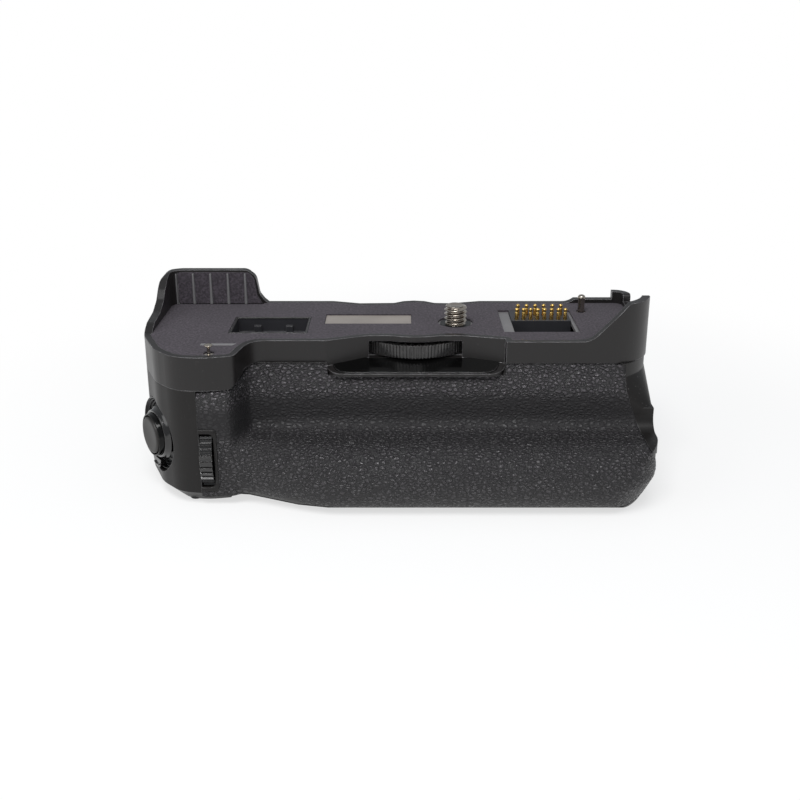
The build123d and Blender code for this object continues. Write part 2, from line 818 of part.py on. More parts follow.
# Deck screws sit under the felt: shares of the left and right reach, and of the depth there
deck_screw_places = []
for across_share, depth_share in ((0.955, 0.6), (0.955, 0.0)):
    deck_screw_places.append((-left_reach * across_share, back_reach * depth_share))
for across_share, depth_share in ((0.88, -0.57), (0.9, 0.37)):
    deck_screw_places.append((right_reach * across_share, front_reach * depth_share))
for across_share, depth, depth_share in ((0.715, lobe_reach, 0.87), (0.46, front_reach, 0.74)):
    deck_screw_places.append((-left_reach * across_share, -depth * depth_share))

deck_plate = slab(offset(deck_face, amount=-frame_wall - seat_gap), plate_bottom, plate_top)
pocket_left = pocket_x - pocket_length / 2
pocket_right = pocket_x + pocket_length / 2
pocket_front = pocket_y - pocket_width / 2
pocket_back = pocket_y + pocket_width / 2
pocket_hole = block(
    pocket_left - pocket_wall, pocket_right + pocket_wall, pocket_front - pocket_wall,
    pocket_back + pocket_wall, -pocket_depth - overrun, overrun
)
connector_hole = block(
    block_left - seat_gap, block_right + seat_gap, -cutout_front + seat_gap, cutout_back - seat_gap,
    -block_depth - overrun, overrun
)
felt_connector = block(cutout_left, cutout_right, -cutout_front, cutout_back, plate_top, overrun)
label_window = block(
    label_x - label_length / 2 - seat_gap, label_x + label_length / 2 + seat_gap,
    label_y - label_width / 2 - seat_gap, label_y + label_width / 2 + seat_gap, plate_top, overrun
)
strip = block(
    strip_x - strip_length / 2, strip_x + strip_length / 2, strip_y - strip_width / 2,
    strip_y + strip_width / 2, plate_top, -felt_thickness / 3
)
locating_pins = []
for pin_x, pin_y, pin_height in (
    (right_pin_x, right_pin_y, right_pin_height), (left_pin_x, left_pin_y, left_pin_height)
):
    pin = upright(pin_x, pin_y, locating_radius, plate_bottom - locating_root, pin_height)
    pin = chamfer(pin.faces().sort_by(Axis.Z)[-1].edges(), locating_radius / 3)
    shoulder_radius = locating_radius + locating_shoulder
    pin += upright(pin_x, pin_y, shoulder_radius, plate_bottom - locating_root, seat_gap)
    locating_pins.append(pin)
write("locating_pins", Compound(children=locating_pins))

bush_hole = upright(0, 0, bush_radius, -overrun, overrun)
pin_bosses = [
    upright(right_pin_x, right_pin_y, locating_radius * 2, plate_bottom - locating_root, plate_bottom),
    upright(left_pin_x, left_pin_y, locating_radius * 2, plate_bottom - locating_root, plate_bottom),
]
deck_screws = fasteners(deck_screw_places, plate_top, False)
deck_plate += pin_bosses[0]
deck_plate = cut_all(deck_plate, [pocket_hole, connector_hole, bush_hole] + locating_pins + deck_screws)
write("deck_plate", deck_plate)

deck_felt = slab(inner_face, plate_top, 0)
felt_screw_hole = upright(0, 0, screw_radius + felt_thickness * 3, -overrun, overrun)
felt_pin_holes = [
    upright(right_pin_x, right_pin_y, locating_radius + moving_gap, -overrun, overrun),
    upright(left_pin_x, left_pin_y, locating_radius + moving_gap, -overrun, overrun),
]
felt_cuts = [pocket_hole, felt_connector, label_window, strip, felt_screw_hole] + felt_pin_holes
deck_felt = cut_all(deck_felt, felt_cuts)
liner_front = back_reach - wall_thickness - liner_thickness - rib_proud
liner_strip = block(-left_reach, split_x, liner_front - seat_gap, back_reach, -overrun, overrun)
deck_felt -= liner_strip
deck_felt -= raised_wall + horn
write("deck_felt", deck_felt)

write("label_plate", block(
    label_x - label_length / 2, label_x + label_length / 2, label_y - label_width / 2,
    label_y + label_width / 2, plate_top, plate_top + label_thickness
))
write("slot_strip", strip)

# Contact cap pocket
pocket_liner = block(
    pocket_left - pocket_wall, pocket_right + pocket_wall, pocket_front - pocket_wall,
    pocket_back + pocket_wall, -pocket_depth - pocket_wall, -felt_thickness / 3
)
pocket_liner -= block(pocket_left, pocket_right, pocket_front, pocket_back, -pocket_depth, overrun)
for side in (-1, 1):
    clip_x = pocket_x + side * clip_spread / 2
    pocket_liner += block(
        clip_x - clip_length / 2, clip_x + clip_length / 2, pocket_back - clip_thickness,
        pocket_back, -pocket_depth, -pocket_depth + clip_height
    )
write("pocket_liner", pocket_liner)

# Ribbed liner on the raised wall's inner face
liner_back = back_reach - wall_thickness
rib_first_x = -left_reach + rib_inset
wall_liner = block(
    rib_first_x - rib_width, rib_first_x + rib_pitch * (rib_count - 1) + rib_width,
    liner_back - liner_thickness, liner_back, 0, liner_top
)
for number in range(rib_count):
    rib_x = rib_first_x + number * rib_pitch
    wall_liner += block(
        rib_x - rib_width / 2, rib_x + rib_width / 2, liner_front, liner_back - liner_thickness, 0,
        liner_top
    )
write("wall_liner", wall_liner)

# Connector block and its sprung contacts
connector_block = block(block_left, block_right, block_front, cutout_back - seat_gap * 2, -block_depth, 0)
connector_block += block(
    block_left, block_right, -cutout_front + seat_gap * 2, block_front, -block_depth,
    -block_depth + block_floor
)
pin_places = [
    (connector_x + (number - (front_pins - 1) / 2) * front_pin_pitch, front_pin_y)
    for number in range(front_pins)
]
pin_places += [
    (connector_x + (number - (back_pins - 1) / 2) * back_pin_pitch, back_pin_y)
    for number in range(back_pins)
]
contact_pins = []
pin_crown_share = 0.85
pin_bottom = -block_depth + block_floor / 2 + pin_travel + pin_gap
for pin_x, pin_y in pin_places:
    hole_bottom = -block_depth + block_floor / 2
    connector_block -= upright(pin_x, pin_y, pin_radius + pin_gap, hole_bottom, overrun)
    contact = upright(pin_x, pin_y, pin_radius, pin_bottom, pin_rise)
    contact = fillet(contact.faces().sort_by(Axis.Z)[-1].edges(), pin_radius * pin_crown_share)
    contact_pins.append(contact)
write("connector_block", connector_block)
write("contact_pins", Compound(children=contact_pins))

# Casing: an outer body, the body under the leather, and the hollow inside
outer_body = casing(0, 0, 0, 0, 0)
core_body = casing(skin_thickness, 0, 0, 0, skin_thickness)
hollow = casing(skin_thickness + casing_wall, casing_wall, floor_wall, casing_wall, casing_wall)
hollow += slab(inner_face, -brow_depth, 0)

bay_low = -bay_floor - bay_floor_wall
door_low = -bay_floor - door_margin
door_high = -bay_roof + door_margin
door_back = bay_back + door_margin
door_front = -bay_front - door_margin
door_left = right_reach - door_thickness
door_hole = block(
    door_left - door_gap, right_reach + overrun, door_front - door_gap, door_back + door_gap,
    door_low - door_gap, door_high + door_gap
)

# The leather's region on the front, and the pad on the rear
skin_region = along_y(
    [
        (front_dial_x - bezel_left, -frame_depth, 0),
        (front_dial_x - bezel_left, -body_height + heel_radius / 2, 0),
        (right_reach + overrun, -body_height + heel_radius / 2, 0),
        (right_reach + overrun, -shelf_depth - crest_radius, 0),
        (right_reach - skin_end_inset / 2, -shelf_depth, corner_radius),
        (right_reach - skin_end_inset, -throat_depth, corner_radius),
        (right_reach - skin_end_inset, -frame_depth, heel_radius / 2),
    ],
    -bulge_reach - overrun,
    -brow_reach + skin_thickness * 2,
)
skin_shell = (outer_body - core_body) & skin_region
recess_volume = slab(apron_plan, slot_bottom - apron_drop - apron_thickness, 0) + recess_block
dial_half = dial_width / 2 + moving_gap
bezel_back = -bezel_front + bezel_depth
dial_well = lengthwise(
    front_dial_y, front_dial_z, front_dial_radius + moving_gap, front_dial_x - dial_half,
    front_dial_x + dial_half
)
bezel_box = block(
    front_dial_x - bezel_left, front_dial_x + bezel_right, -bezel_front, -bezel_front + bezel_depth,
    front_dial_z - bezel_half_height, front_dial_z + bezel_half_height
)
bezel_hole = block(
    front_dial_x - bezel_left, front_dial_x + bezel_right, -lobe_reach - overrun,
    -bezel_front + bezel_depth, front_dial_z - bezel_half_height, front_dial_z + bezel_half_height
)
front_skin = cut_all(skin_shell, [recess_volume, bezel_hole, dial_well, lobe_ring, door_hole])
front_skin = max(front_skin.solids(), key=lambda solid: solid.volume)
write("front_grip_skin", front_skin)

shell = outer_body - hollow
shell -= front_skin
shell -= door_hole
shell -= recess_volume
bay_right = door_left - door_gap
bay_envelope = block(
    -bay_left - bay_wall, bay_right, -bay_front - bay_wall, bay_back + bay_wall, bay_low,
    -bay_roof + bay_wall
)
shell -= bay_envelope
shell -= dial_well

base_slab = block(
    -left_reach - overrun, right_reach + overrun, -bulge_reach - overrun, back_reach + overrun,
    -body_height - overrun, -body_height + floor_wall
)
bottom_cover = outer_body & base_slab
bottom_cover -= front_skin
bottom_cover -= door_hole
boss_radius = screw_head_radius + casing_wall / 2
chassis_boss_y = -bay_front - boss_radius
# Shares of the reach that each base screw follows
cover_screw_shares = {"side": 0.6, "front": 0.83, "rear": 0.7}
foot_inset = lobe_foot_chamfer + screw_head_radius
cover_screw_places = [
    (-left_reach + foot_inset, back_reach * cover_screw_shares["side"]),
    (-left_reach * cover_screw_shares["front"], -lobe_reach + foot_inset),
    (-left_reach * cover_screw_shares["rear"], back_reach - heel_radius - screw_head_radius),
]
chassis_screw_shares = (0.36, 0.62)
chassis_screw_places = [
    (-left_reach * chassis_screw_shares[0], chassis_boss_y),
    (right_reach * chassis_screw_shares[1], chassis_boss_y),
]
base_screw_places = cover_screw_places + chassis_screw_places
base_screws = fasteners(base_screw_places, -body_height, True)


def screw_boss(place):
    """A boss that stands on the bottom cover's inner face."""
    top = -body_height + screw_head_height + screw_length + casing_wall
    return upright(place[0], place[1], boss_radius, -body_height + floor_wall, top)


# The socket stands in front of the bay, and its flange runs along it
barrel_radius = socket_radius + socket_wall
socket_y = -bay_front - bay_wall - barrel_radius - moving_gap
tripod_barrel_top = -body_height + socket_depth
tripod_socket = upright(0, socket_y, barrel_radius, -body_height, tripod_barrel_top)
flange_low = -body_height + floor_wall
tripod_socket += block(
    -barrel_radius - socket_flange, barrel_radius + socket_flange, socket_y - barrel_radius,
    socket_y + barrel_radius, flange_low, flange_low + socket_flange_thickness
)
tripod_socket -= upright(0, socket_y, socket_radius, -body_height - overrun, tripod_barrel_top + overrun)
write("tripod_socket", tripod_socket)
tripod_hole = upright(0, socket_y, barrel_radius, -body_height - overrun, 0)
bottom_cover = cut_all(bottom_cover, base_screws + [tripod_hole])
write("bottom_cover", bottom_cover)
write("base_screws", Compound(children=base_screws))
shell -= base_slab

# Shutter assembly, on its own axis out of the lobe's corner
heading = math.radians(shutter_heading)
shutter_axis = (math.cos(heading), math.sin(heading), 0)
shutter_plane = Plane(origin=(shutter_x, shutter_y, shutter_z), x_dir=(0, 0, -1), z_dir=shutter_axis)


def on_shutter(shape):
    """A shape drawn about +Z, moved on to the shutter's axis."""
    return shutter_plane.location * shape


shutter_collar = upright(0, 0, collar_radius, -collar_depth, -collar_sink)
shutter_collar += upright(0, 0, sleeve_radius, -collar_depth, -collar_sink + sleeve_rise)
shutter_collar -= upright(0, 0, sleeve_radius - sleeve_wall, -collar_depth + collar_floor, overrun)
shutter_collar -= upright(0, 0, stem_radius + moving_gap, -collar_depth - overrun, overrun)
write("shutter_collar", on_shutter(shutter_collar))

cap = upright(0, 0, cap_radius, -cap_drop, cap_rise)
cap = fillet(cap.faces().sort_by(Axis.Z)[-1].edges(), cap_dome)
stem_low = -collar_depth - shutter_travel
cap += upright(0, 0, stem_radius, stem_low, -cap_drop)
write("shutter_button", on_shutter(cap))

ring_low = -collar_sink + moving_gap
lock_ring = upright(0, 0, ring_radius, ring_low, ring_low + ring_thickness)
tab = block(0, ring_tab_reach, -ring_tab_width / 2, ring_tab_width / 2, ring_low, ring_low + ring_thickness)
tab = fillet(tab.edges().filter_by(Axis.Z).group_by(Axis.X)[-1], ring_tab_width / 3)
lock_ring += tab
lock_ring -= upright(0, 0, sleeve_radius + running_gap, -overrun, overrun)
write("shutter_lock_ring", on_shutter(lock_ring))

switch_top = stem_low - shutter_travel - moving_gap
half_switch = switch_size / 2
shutter_switch = block(
    -half_switch, half_switch, -half_switch, half_switch, switch_top - switch_depth, switch_top
)
# Two feet run forward to the collar's back face
for side in (-1, 1):
    foot_y = side * (half_switch + dial_arm / 2)
    shutter_switch += block(
        -half_switch, half_switch, foot_y - dial_arm / 2, foot_y + dial_arm / 2,
        switch_top - switch_depth, -collar_depth
    )
write("shutter_switch", on_shutter(shutter_switch))
collar_hole = on_shutter(upright(0, 0, collar_radius, -collar_depth, overrun * 2))


def dial(radius, x, y, z):
    """A notched command dial with its axle along X."""
    wheel = gear_face(dial_notches, radius - dial_notch_depth, radius, knurl_share)
    wheel = Pos(x - dial_width / 2, y, z) * Rot(0, 90, 0) * slab(wheel, 0, dial_width)
    half_axle = dial_width / 2 + moving_gap + dial_arm + seat_gap
    return wheel + lengthwise(y, z, dial_axle_radius, x - half_axle, x + half_axle)


def dial_carrier(x, y, z, wall_y, direction):
    """Two arms that run from the wall to the dial's axle, on a common foot."""
    near = dial_width / 2 + moving_gap
    far = near + dial_arm
    half = dial_arm_width / 2
    reach = y - direction * half
    low, high = min(wall_y, reach), max(wall_y, reach)
    arms = block(x - far, x - near, low, high, z - half, z + half)
    arms += block(x + near, x + far, low, high, z - half, z + half)
    return arms - lengthwise(y, z, dial_axle_radius + running_gap, x - far - overrun, x + far + overrun)


front_dial = dial(front_dial_radius, front_dial_x, front_dial_y, front_dial_z)
write("front_dial", front_dial)
dial_bezel = bezel_box - block(
    front_dial_x - dial_half, front_dial_x + dial_half, -bezel_front - overrun, bezel_back + overrun,
    front_dial_z - opening_half_height, front_dial_z + opening_half_height
)
write("dial_bezel", dial_bezel)
front_carrier = dial_carrier(front_dial_x, front_dial_y, front_dial_z, bezel_back, -1) & hollow
write("front_dial_carrier", keep_solids(front_carrier))

rear_dial = dial(rear_dial_radius, rear_dial_x, rear_dial_y, rear_dial_z)
write("rear_dial", rear_dial)
rear_inner = back_reach - casing_wall
rear_carrier = dial_carrier(rear_dial_x, rear_dial_y, rear_dial_z, rear_inner, 1)
write("rear_dial_carrier", keep_solids(rear_carrier))
rear_opening_share = 0.78
rear_opening_half = rear_dial_radius * rear_opening_share
rear_dial_hole = block(
    rear_dial_x - dial_half, rear_dial_x + dial_half, rear_inner - overrun, back_reach + overrun,
    rear_dial_z - rear_opening_half, rear_dial_z + rear_opening_half
)

# Rear buttons, control stick and their board
button_holes = []


def rear_button(name, x, z):
    """A flanged button through the rear wall."""
    flange_back = rear_inner - moving_gap
    button = crosswise(x, z, button_radius, flange_back - button_flange, back_reach + button_proud)
    button = fillet(button.faces().sort_by(Axis.Y)[-1].edges(), button_proud / 2)
    button += crosswise(x, z, button_radius + button_flange, flange_back - button_flange, flange_back)
    button += crosswise(x, z, button_radius / 2, flange_back - button_drop, flange_back)
    write(name, button)
    hole_radius = button_radius + moving_gap
    button_holes.append(crosswise(x, z, hole_radius, rear_inner - overrun, back_reach + overrun))


rear_button("focus_button", control_right_x, control_upper_z)
rear_button("exposure_button", control_left_x, control_upper_z)
rear_button("menu_button", control_left_x, control_lower_z)

stick_pivot_y = rear_inner - stick_ball_radius
focus_lever = Pos(control_right_x, stick_pivot_y, control_lower_z) * Sphere(stick_ball_radius)
focus_lever += crosswise(
    control_right_x, control_lower_z, stick_radius / 2, stick_pivot_y, back_reach + stick_proud / 2
)
stick_cap = crosswise(
    control_right_x, control_lower_z, stick_radius, back_reach + stick_proud / 4, back_reach + stick_proud
)
focus_lever += fillet(stick_cap.faces().sort_by(Axis.Y)[-1].edges(), stick_radius / 3)
write("focus_lever", focus_lever)
stick_hole = crosswise(
    control_right_x, control_lower_z, stick_ball_radius + moving_gap, rear_inner - overrun,
    back_reach + overrun
)

board_back = control_board_y + control_board_thickness
control_board = block(
    control_right_x - stick_cup_radius, control_right_x + stick_cup_radius, control_board_y, board_back,
    control_lower_z - control_board_margin, control_upper_z + control_board_margin
)
control_board += block(
    control_left_x - button_radius, control_left_x + button_radius * 2, control_board_y, board_back,
    control_lower_z - control_board_margin, control_upper_z + control_board_margin
)
ball_seat = Pos(control_right_x, stick_pivot_y, control_lower_z) * Sphere(stick_ball_radius + moving_gap)
control_board -= ball_seat
write("control_board", keep_solids(control_board))
board_posts = []
post_inset = control_board_margin - control_post_radius
for post_x in (control_right_x, control_left_x):
    for post_z in (control_upper_z + post_inset, control_lower_z - post_inset):
        board_posts.append(crosswise(post_x, post_z, control_post_radius, board_back, rear_inner + seat_gap))

# Mode switch and lamps on the rear
half_mode = mode_length / 2
mode_slot = block(
    mode_x - half_mode - moving_gap, mode_x + half_mode + mode_travel + moving_gap, rear_inner - overrun,
    back_reach + overrun, mode_z - mode_height / 2 - moving_gap, mode_z + mode_height / 2 + moving_gap
)
mode_switch = block(
    mode_x - half_mode, mode_x + half_mode, rear_inner - moving_gap, back_reach + button_proud,
    mode_z - mode_height / 2, mode_z + mode_height / 2
)
mode_switch += block(
    mode_x - mode_length, mode_x + mode_length, rear_inner - moving_gap - button_flange,
    rear_inner - moving_gap, mode_z - mode_height, mode_z + mode_height
)
write("mode_switch", mode_switch)
lamps = []
for side in (0, 1):
    place_x = lamp_x + side * lamp_pitch
    lamps.append(crosswise(place_x, mode_z, lamp_radius, rear_inner, back_reach + seat_gap))
write("indicator_lamps", Compound(children=lamps))

rear_pad = along_y(
    [
        (-rear_pad_left, -rear_pad_top, rear_pad_radius),
        (-rear_pad_right, -rear_pad_top, rear_pad_radius),
        (-rear_pad_right, -rear_pad_bottom, rear_pad_radius),
        (-rear_pad_left, -rear_pad_bottom, rear_pad_radius),
    ],
    back_reach - rear_pad_sink,
    back_reach + rear_pad_proud,
)
rear_pad = chamfer(rear_pad.faces().sort_by(Axis.Y)[-1].edges(), rear_pad_proud / 2)
write("rear_grip_skin", rear_pad)

# Terminals on the left end, under a hinged cover
barrel_x = -left_reach + terminal_barrel
terminal_recess = block(
    -left_reach - overrun, -left_reach + terminal_thickness + moving_gap / 3, -terminal_front - moving_gap,
    terminal_back + moving_gap, -terminal_bottom - moving_gap, -terminal_top + moving_gap
)
terminal_recess += upright(
    barrel_x, terminal_back, terminal_barrel + moving_gap, -terminal_bottom - moving_gap,
    -terminal_top + moving_gap
)
terminal_recess += block(
    -left_reach - overrun, barrel_x, terminal_back, terminal_back + terminal_barrel + moving_gap,
    -terminal_bottom - moving_gap, -terminal_top + moving_gap
)
pin_hole = upright(
    barrel_x, terminal_back, terminal_pin, -terminal_bottom - casing_wall, -terminal_top + casing_wall
)
terminal_cover = block(
    -left_reach, -left_reach + terminal_thickness, -terminal_front, terminal_back, -terminal_bottom,
    -terminal_top
)
terminal_cover += upright(barrel_x, terminal_back, terminal_barrel, -terminal_bottom, -terminal_top)
terminal_cover -= upright(
    barrel_x, terminal_back, terminal_pin + running_gap, -terminal_bottom - overrun, -terminal_top + overrun
)
write("terminal_cover", terminal_cover)
write("terminal_pin", pin_hole)

jack_wall = -left_reach + terminal_thickness + moving_gap / 3


def jack(name, z, radius):
    """A jack body behind the left wall, with its bore facing out."""
    half = jack_body / 2
    solid = block(jack_wall, jack_wall + jack_depth, jack_y - half, jack_y + half, z - half, z + half)
    write(name, solid - lengthwise(jack_y, z, radius, jack_wall - overrun, jack_wall + jack_depth - half))
    return solid


jack_boxes = [jack("headphone_jack", phone_z, phone_radius), jack("dc_in_jack", dc_z, dc_radius)]

# Covers: the shutter end, the front and the rear
left_cover = shell & block(
    -left_reach - overrun, split_x, -lobe_reach - overrun, back_reach + overrun, -body_height - overrun,
    -lobe_frame_depth
)
for post in board_posts:
    left_cover += post
for place in cover_screw_places:
    left_cover += screw_boss(place)
left_cuts = [collar_hole, bezel_hole, rear_dial_hole, terminal_recess, pin_hole, stick_hole]
left_cover = cut_all(left_cover, left_cuts + button_holes + jack_boxes + base_screws)
write("left_cover", keep_solids(left_cover))

right_shell = shell & block(
    split_x, right_reach + overrun, -bulge_reach - overrun, back_reach + overrun, -body_height - overrun,
    -frame_depth
)
front_half = block(
    split_x, right_reach + overrun, -bulge_reach - overrun, 0, -body_height - overrun, 0
)
front_cover = (right_shell & front_half) - frame
write("front_cover", keep_solids(front_cover))

# Shares of the wheel slot's half width on either side of the wheel
rear_apron_shares = (1.4, 1.2)
rear_apron = along_x(
    [
        (rear_recess_reach, -frame_depth, 0),
        (back_reach + overrun, -frame_depth, 0),
        (back_reach + overrun, -frame_depth - rear_apron_drop, 0),
        (back_reach, -frame_depth - rear_apron_drop, 0),
        (rear_inner + casing_wall / 3, -frame_depth, 0),
    ],
    wheel_x - slot_half_width * rear_apron_shares[0],
    wheel_x + slot_half_width * rear_apron_shares[1],
)
rear_cover = right_shell - front_half
rear_cover = cut_all(rear_cover, [mode_slot, rear_pad, rear_apron, frame] + lamps)
write("rear_cover", keep_solids(rear_cover))

frame += pin_bosses[1]
frame_bosses = []
for screw_x, screw_y in deck_screw_places:
    frame_bosses.append(upright(
        screw_x, screw_y, screw_head_radius + casing_wall / 2, plate_bottom - screw_length, plate_bottom
    ))
for boss in frame_bosses:
    frame += boss
frame = cut_all(frame, deck_screws + locating_pins + [wall_liner])
write("top_frame", keep_solids(frame))
write("deck_screws", Compound(children=deck_screws))

# Battery bay
bay_chassis = bay_envelope - block(-bay_left, right_reach, -bay_front, bay_back, -bay_floor, -bay_roof)
main_board_top = -board_depth + board_thickness
# The main board's reach: shares of the bay's left, the front and the rear reach
board_right_share = 0.79
board_front_share = 0.5
board_back_share = 0.85
# The chips' places: shares of the bay's left reach
chip_shares = (-0.55, 0.14, 0.55)
post_depth_shares = (-0.45, 0.7)
board_places = [
    (place_x, depth_share * back_reach)
    for place_x in (-bay_left + board_post * 3, bay_left * board_right_share)
    for depth_share in post_depth_shares
]
for post_x, post_y in board_places:
    bay_chassis += upright(post_x, post_y, board_post, -bay_roof + bay_wall, -board_depth)
for place in chassis_screw_places:
    bay_chassis += screw_boss(place)
bay_chassis = cut_all(bay_chassis, base_screws)
write("bay_chassis", bay_chassis)

main_board = block(
    -bay_left, bay_left * board_right_share + board_post * 3, -front_reach * board_front_share,
    back_reach * board_back_share, -board_depth, main_board_top
)
for share_x in chip_shares:
    chip_x = share_x * bay_left
    main_board += block(
        chip_x - chip_height * 3, chip_x + chip_height * 3, -chip_height * 2, chip_height * 2,
        -board_depth - chip_height, -board_depth
    )
write("main_board", main_board)

# Tray, door, batteries and contacts
tray_low = -bay_floor + tray_gap
tray_top = tray_low + tray_floor
tray_left = -bay_left + tray_gap * 2
tray_front = -bay_front + tray_gap
tray_back = bay_back - tray_gap
tray_run = door_left - tray_left - tray_end * 2 - tray_divider - battery_gap * 4
battery_length = tray_run * battery_share
battery_one_x = tray_left + tray_end + battery_gap
divider_x = battery_one_x + battery_length + battery_gap
battery_two_x = divider_x + tray_divider + battery_gap
tray_stop_x = battery_two_x + battery_length + battery_gap
tray_height = tray_top + battery_height / 2
battery_tray = block(tray_left, door_left, tray_front, tray_back, tray_low, tray_top)
battery_tray += block(tray_left, tray_left + tray_end, tray_front, tray_back, tray_low, tray_height)
battery_tray += block(divider_x, divider_x + tray_divider, tray_front, tray_back, tray_low, tray_height)
battery_tray += block(tray_stop_x, door_left, tray_front, tray_back, tray_low, -bay_roof - tray_gap)
battery_tray -= block(
    tray_stop_x + tray_end, door_left - tray_end / 2, tray_front + tray_end, tray_back - tray_end,
    tray_top, 0
)
middle_y = (bay_back - bay_front) / 2
bay_contacts = []
tray_contacts = []
for number in range(contact_count):
    contact_y = middle_y + (number - (contact_count - 1) / 2) * contact_pitch
    low_y, high_y = contact_y - contact_width / 2, contact_y + contact_width / 2
    bay_contacts.append(block(
        -bay_left, -bay_left + contact_thickness, low_y, high_y, tray_top, tray_top + contact_height
    ))
    tray_contacts.append(block(
        tray_left, tray_left + tray_end, low_y, high_y, tray_top, tray_top + contact_height
    ))
battery_tray = cut_all(battery_tray, tray_contacts)
write("battery_tray", battery_tray)
write("bay_contacts", Compound(children=bay_contacts))
write("tray_contacts", Compound(children=tray_contacts))


def battery(name, x):
    """A battery lying flat on the tray's floor."""
    low_y = middle_y - battery_width / 2
    cell = block(x, x + battery_length, low_y, low_y + battery_width, tray_top, tray_top + battery_height)
    write(name, fillet(cell.edges().filter_by(Axis.X), battery_edge))


battery("battery_1", battery_one_x)
battery("battery_2", battery_two_x)

tray_door = outer_body & block(
    door_left, right_reach + overrun, door_front, door_back, door_low, door_high
)
latch_z = -(bay_floor + bay_roof) / 2
latch_back = right_reach - latch_recess
latch_well = block(
    latch_back, right_reach + overrun, -latch_length, latch_length + latch_travel,
    latch_z - latch_height / 2 - moving_gap, latch_z + latch_height / 2 + moving_gap
)
latch_slot = block(
    door_left, right_reach, -latch_stem / 2 - moving_gap, latch_stem / 2 + latch_travel + moving_gap,
    latch_z - latch_stem / 2 - moving_gap, latch_z + latch_stem / 2 + moving_gap
)
tray_door = tray_door - latch_well - latch_slot
write("tray_door", tray_door)
latch_front = latch_back + moving_gap / 2
tray_latch = block(
    latch_front, right_reach + latch_proud, -latch_length / 2, latch_length / 2,
    latch_z - latch_height / 2, latch_z + latch_height / 2
)
for number in (-1, 0, 1):
    groove_y = number * latch_length / 4
    tray_latch -= block(
        right_reach, right_reach + latch_proud + overrun, groove_y - moving_gap, groove_y + moving_gap,
        latch_z - latch_height, latch_z + latch_height
    )
tray_latch += block(
    door_left + seat_gap, latch_front, -latch_stem / 2, latch_stem / 2, latch_z - latch_stem / 2,
    latch_z + latch_stem / 2
)
write("tray_latch", tray_latch)
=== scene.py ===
"""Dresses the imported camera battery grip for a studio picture.

Lengths are written in millimetres in the CAD's own frame and turned into metres where a mesh, a
material or a lamp is made. +X runs away from the shutter end, +Y to the rear and +Z up out of the
deck. Scales of noises and cells are in features per metre.
"""

from __future__ import annotations

import logging
import math
from dataclasses import dataclass
from enum import Enum
from typing import Sequence, Union

import bmesh
import bpy
import numpy
from mathutils import Matrix, Vector, noise

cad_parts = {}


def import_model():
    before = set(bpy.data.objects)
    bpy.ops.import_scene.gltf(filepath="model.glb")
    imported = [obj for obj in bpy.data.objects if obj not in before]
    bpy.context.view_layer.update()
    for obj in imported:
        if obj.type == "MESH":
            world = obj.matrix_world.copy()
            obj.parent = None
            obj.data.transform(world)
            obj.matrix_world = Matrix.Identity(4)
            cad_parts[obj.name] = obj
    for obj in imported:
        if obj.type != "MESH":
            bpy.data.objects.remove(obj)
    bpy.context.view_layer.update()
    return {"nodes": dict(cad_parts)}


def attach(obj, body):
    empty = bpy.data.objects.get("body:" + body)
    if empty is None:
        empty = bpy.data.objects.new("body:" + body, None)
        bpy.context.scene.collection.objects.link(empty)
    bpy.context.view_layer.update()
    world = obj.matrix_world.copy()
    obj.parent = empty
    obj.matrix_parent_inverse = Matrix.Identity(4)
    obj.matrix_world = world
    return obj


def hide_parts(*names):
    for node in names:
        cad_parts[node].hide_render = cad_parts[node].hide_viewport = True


MM = 0.001
ALMOST_STRAIGHT = math.pi / 2 - 0.001
LOG = logging.getLogger("battery_grip")
Row = list[Vector]
Pair = tuple[float, float]
Triple = tuple[float, float, float]
Socket = bpy.types.NodeSocket
Feed = Union[Socket, float, Sequence[float]]


class Slot(Enum):
    """The record's material slots."""

    FRAME = "frame_black"
    CASING = "casing_black"
    GLOSS = "gloss_black"
    INNER = "inner_black"
    DIAL = "dial_black"
    BATTERY = "battery_black"
    FELT = "deck_felt"
    LEATHER = "grip_leather"
    RUBBER = "rubber_black"
    DECK_METAL = "deck_metal"
    LABEL = "label_metal"
    BRIGHT = "bright_metal"
    DARK_METAL = "dark_metal"
    BUTTON = "button_grey"
    GOLD = "contact_gold"
    BOARD = "circuit_board"
    LAMP = "lamp_green"


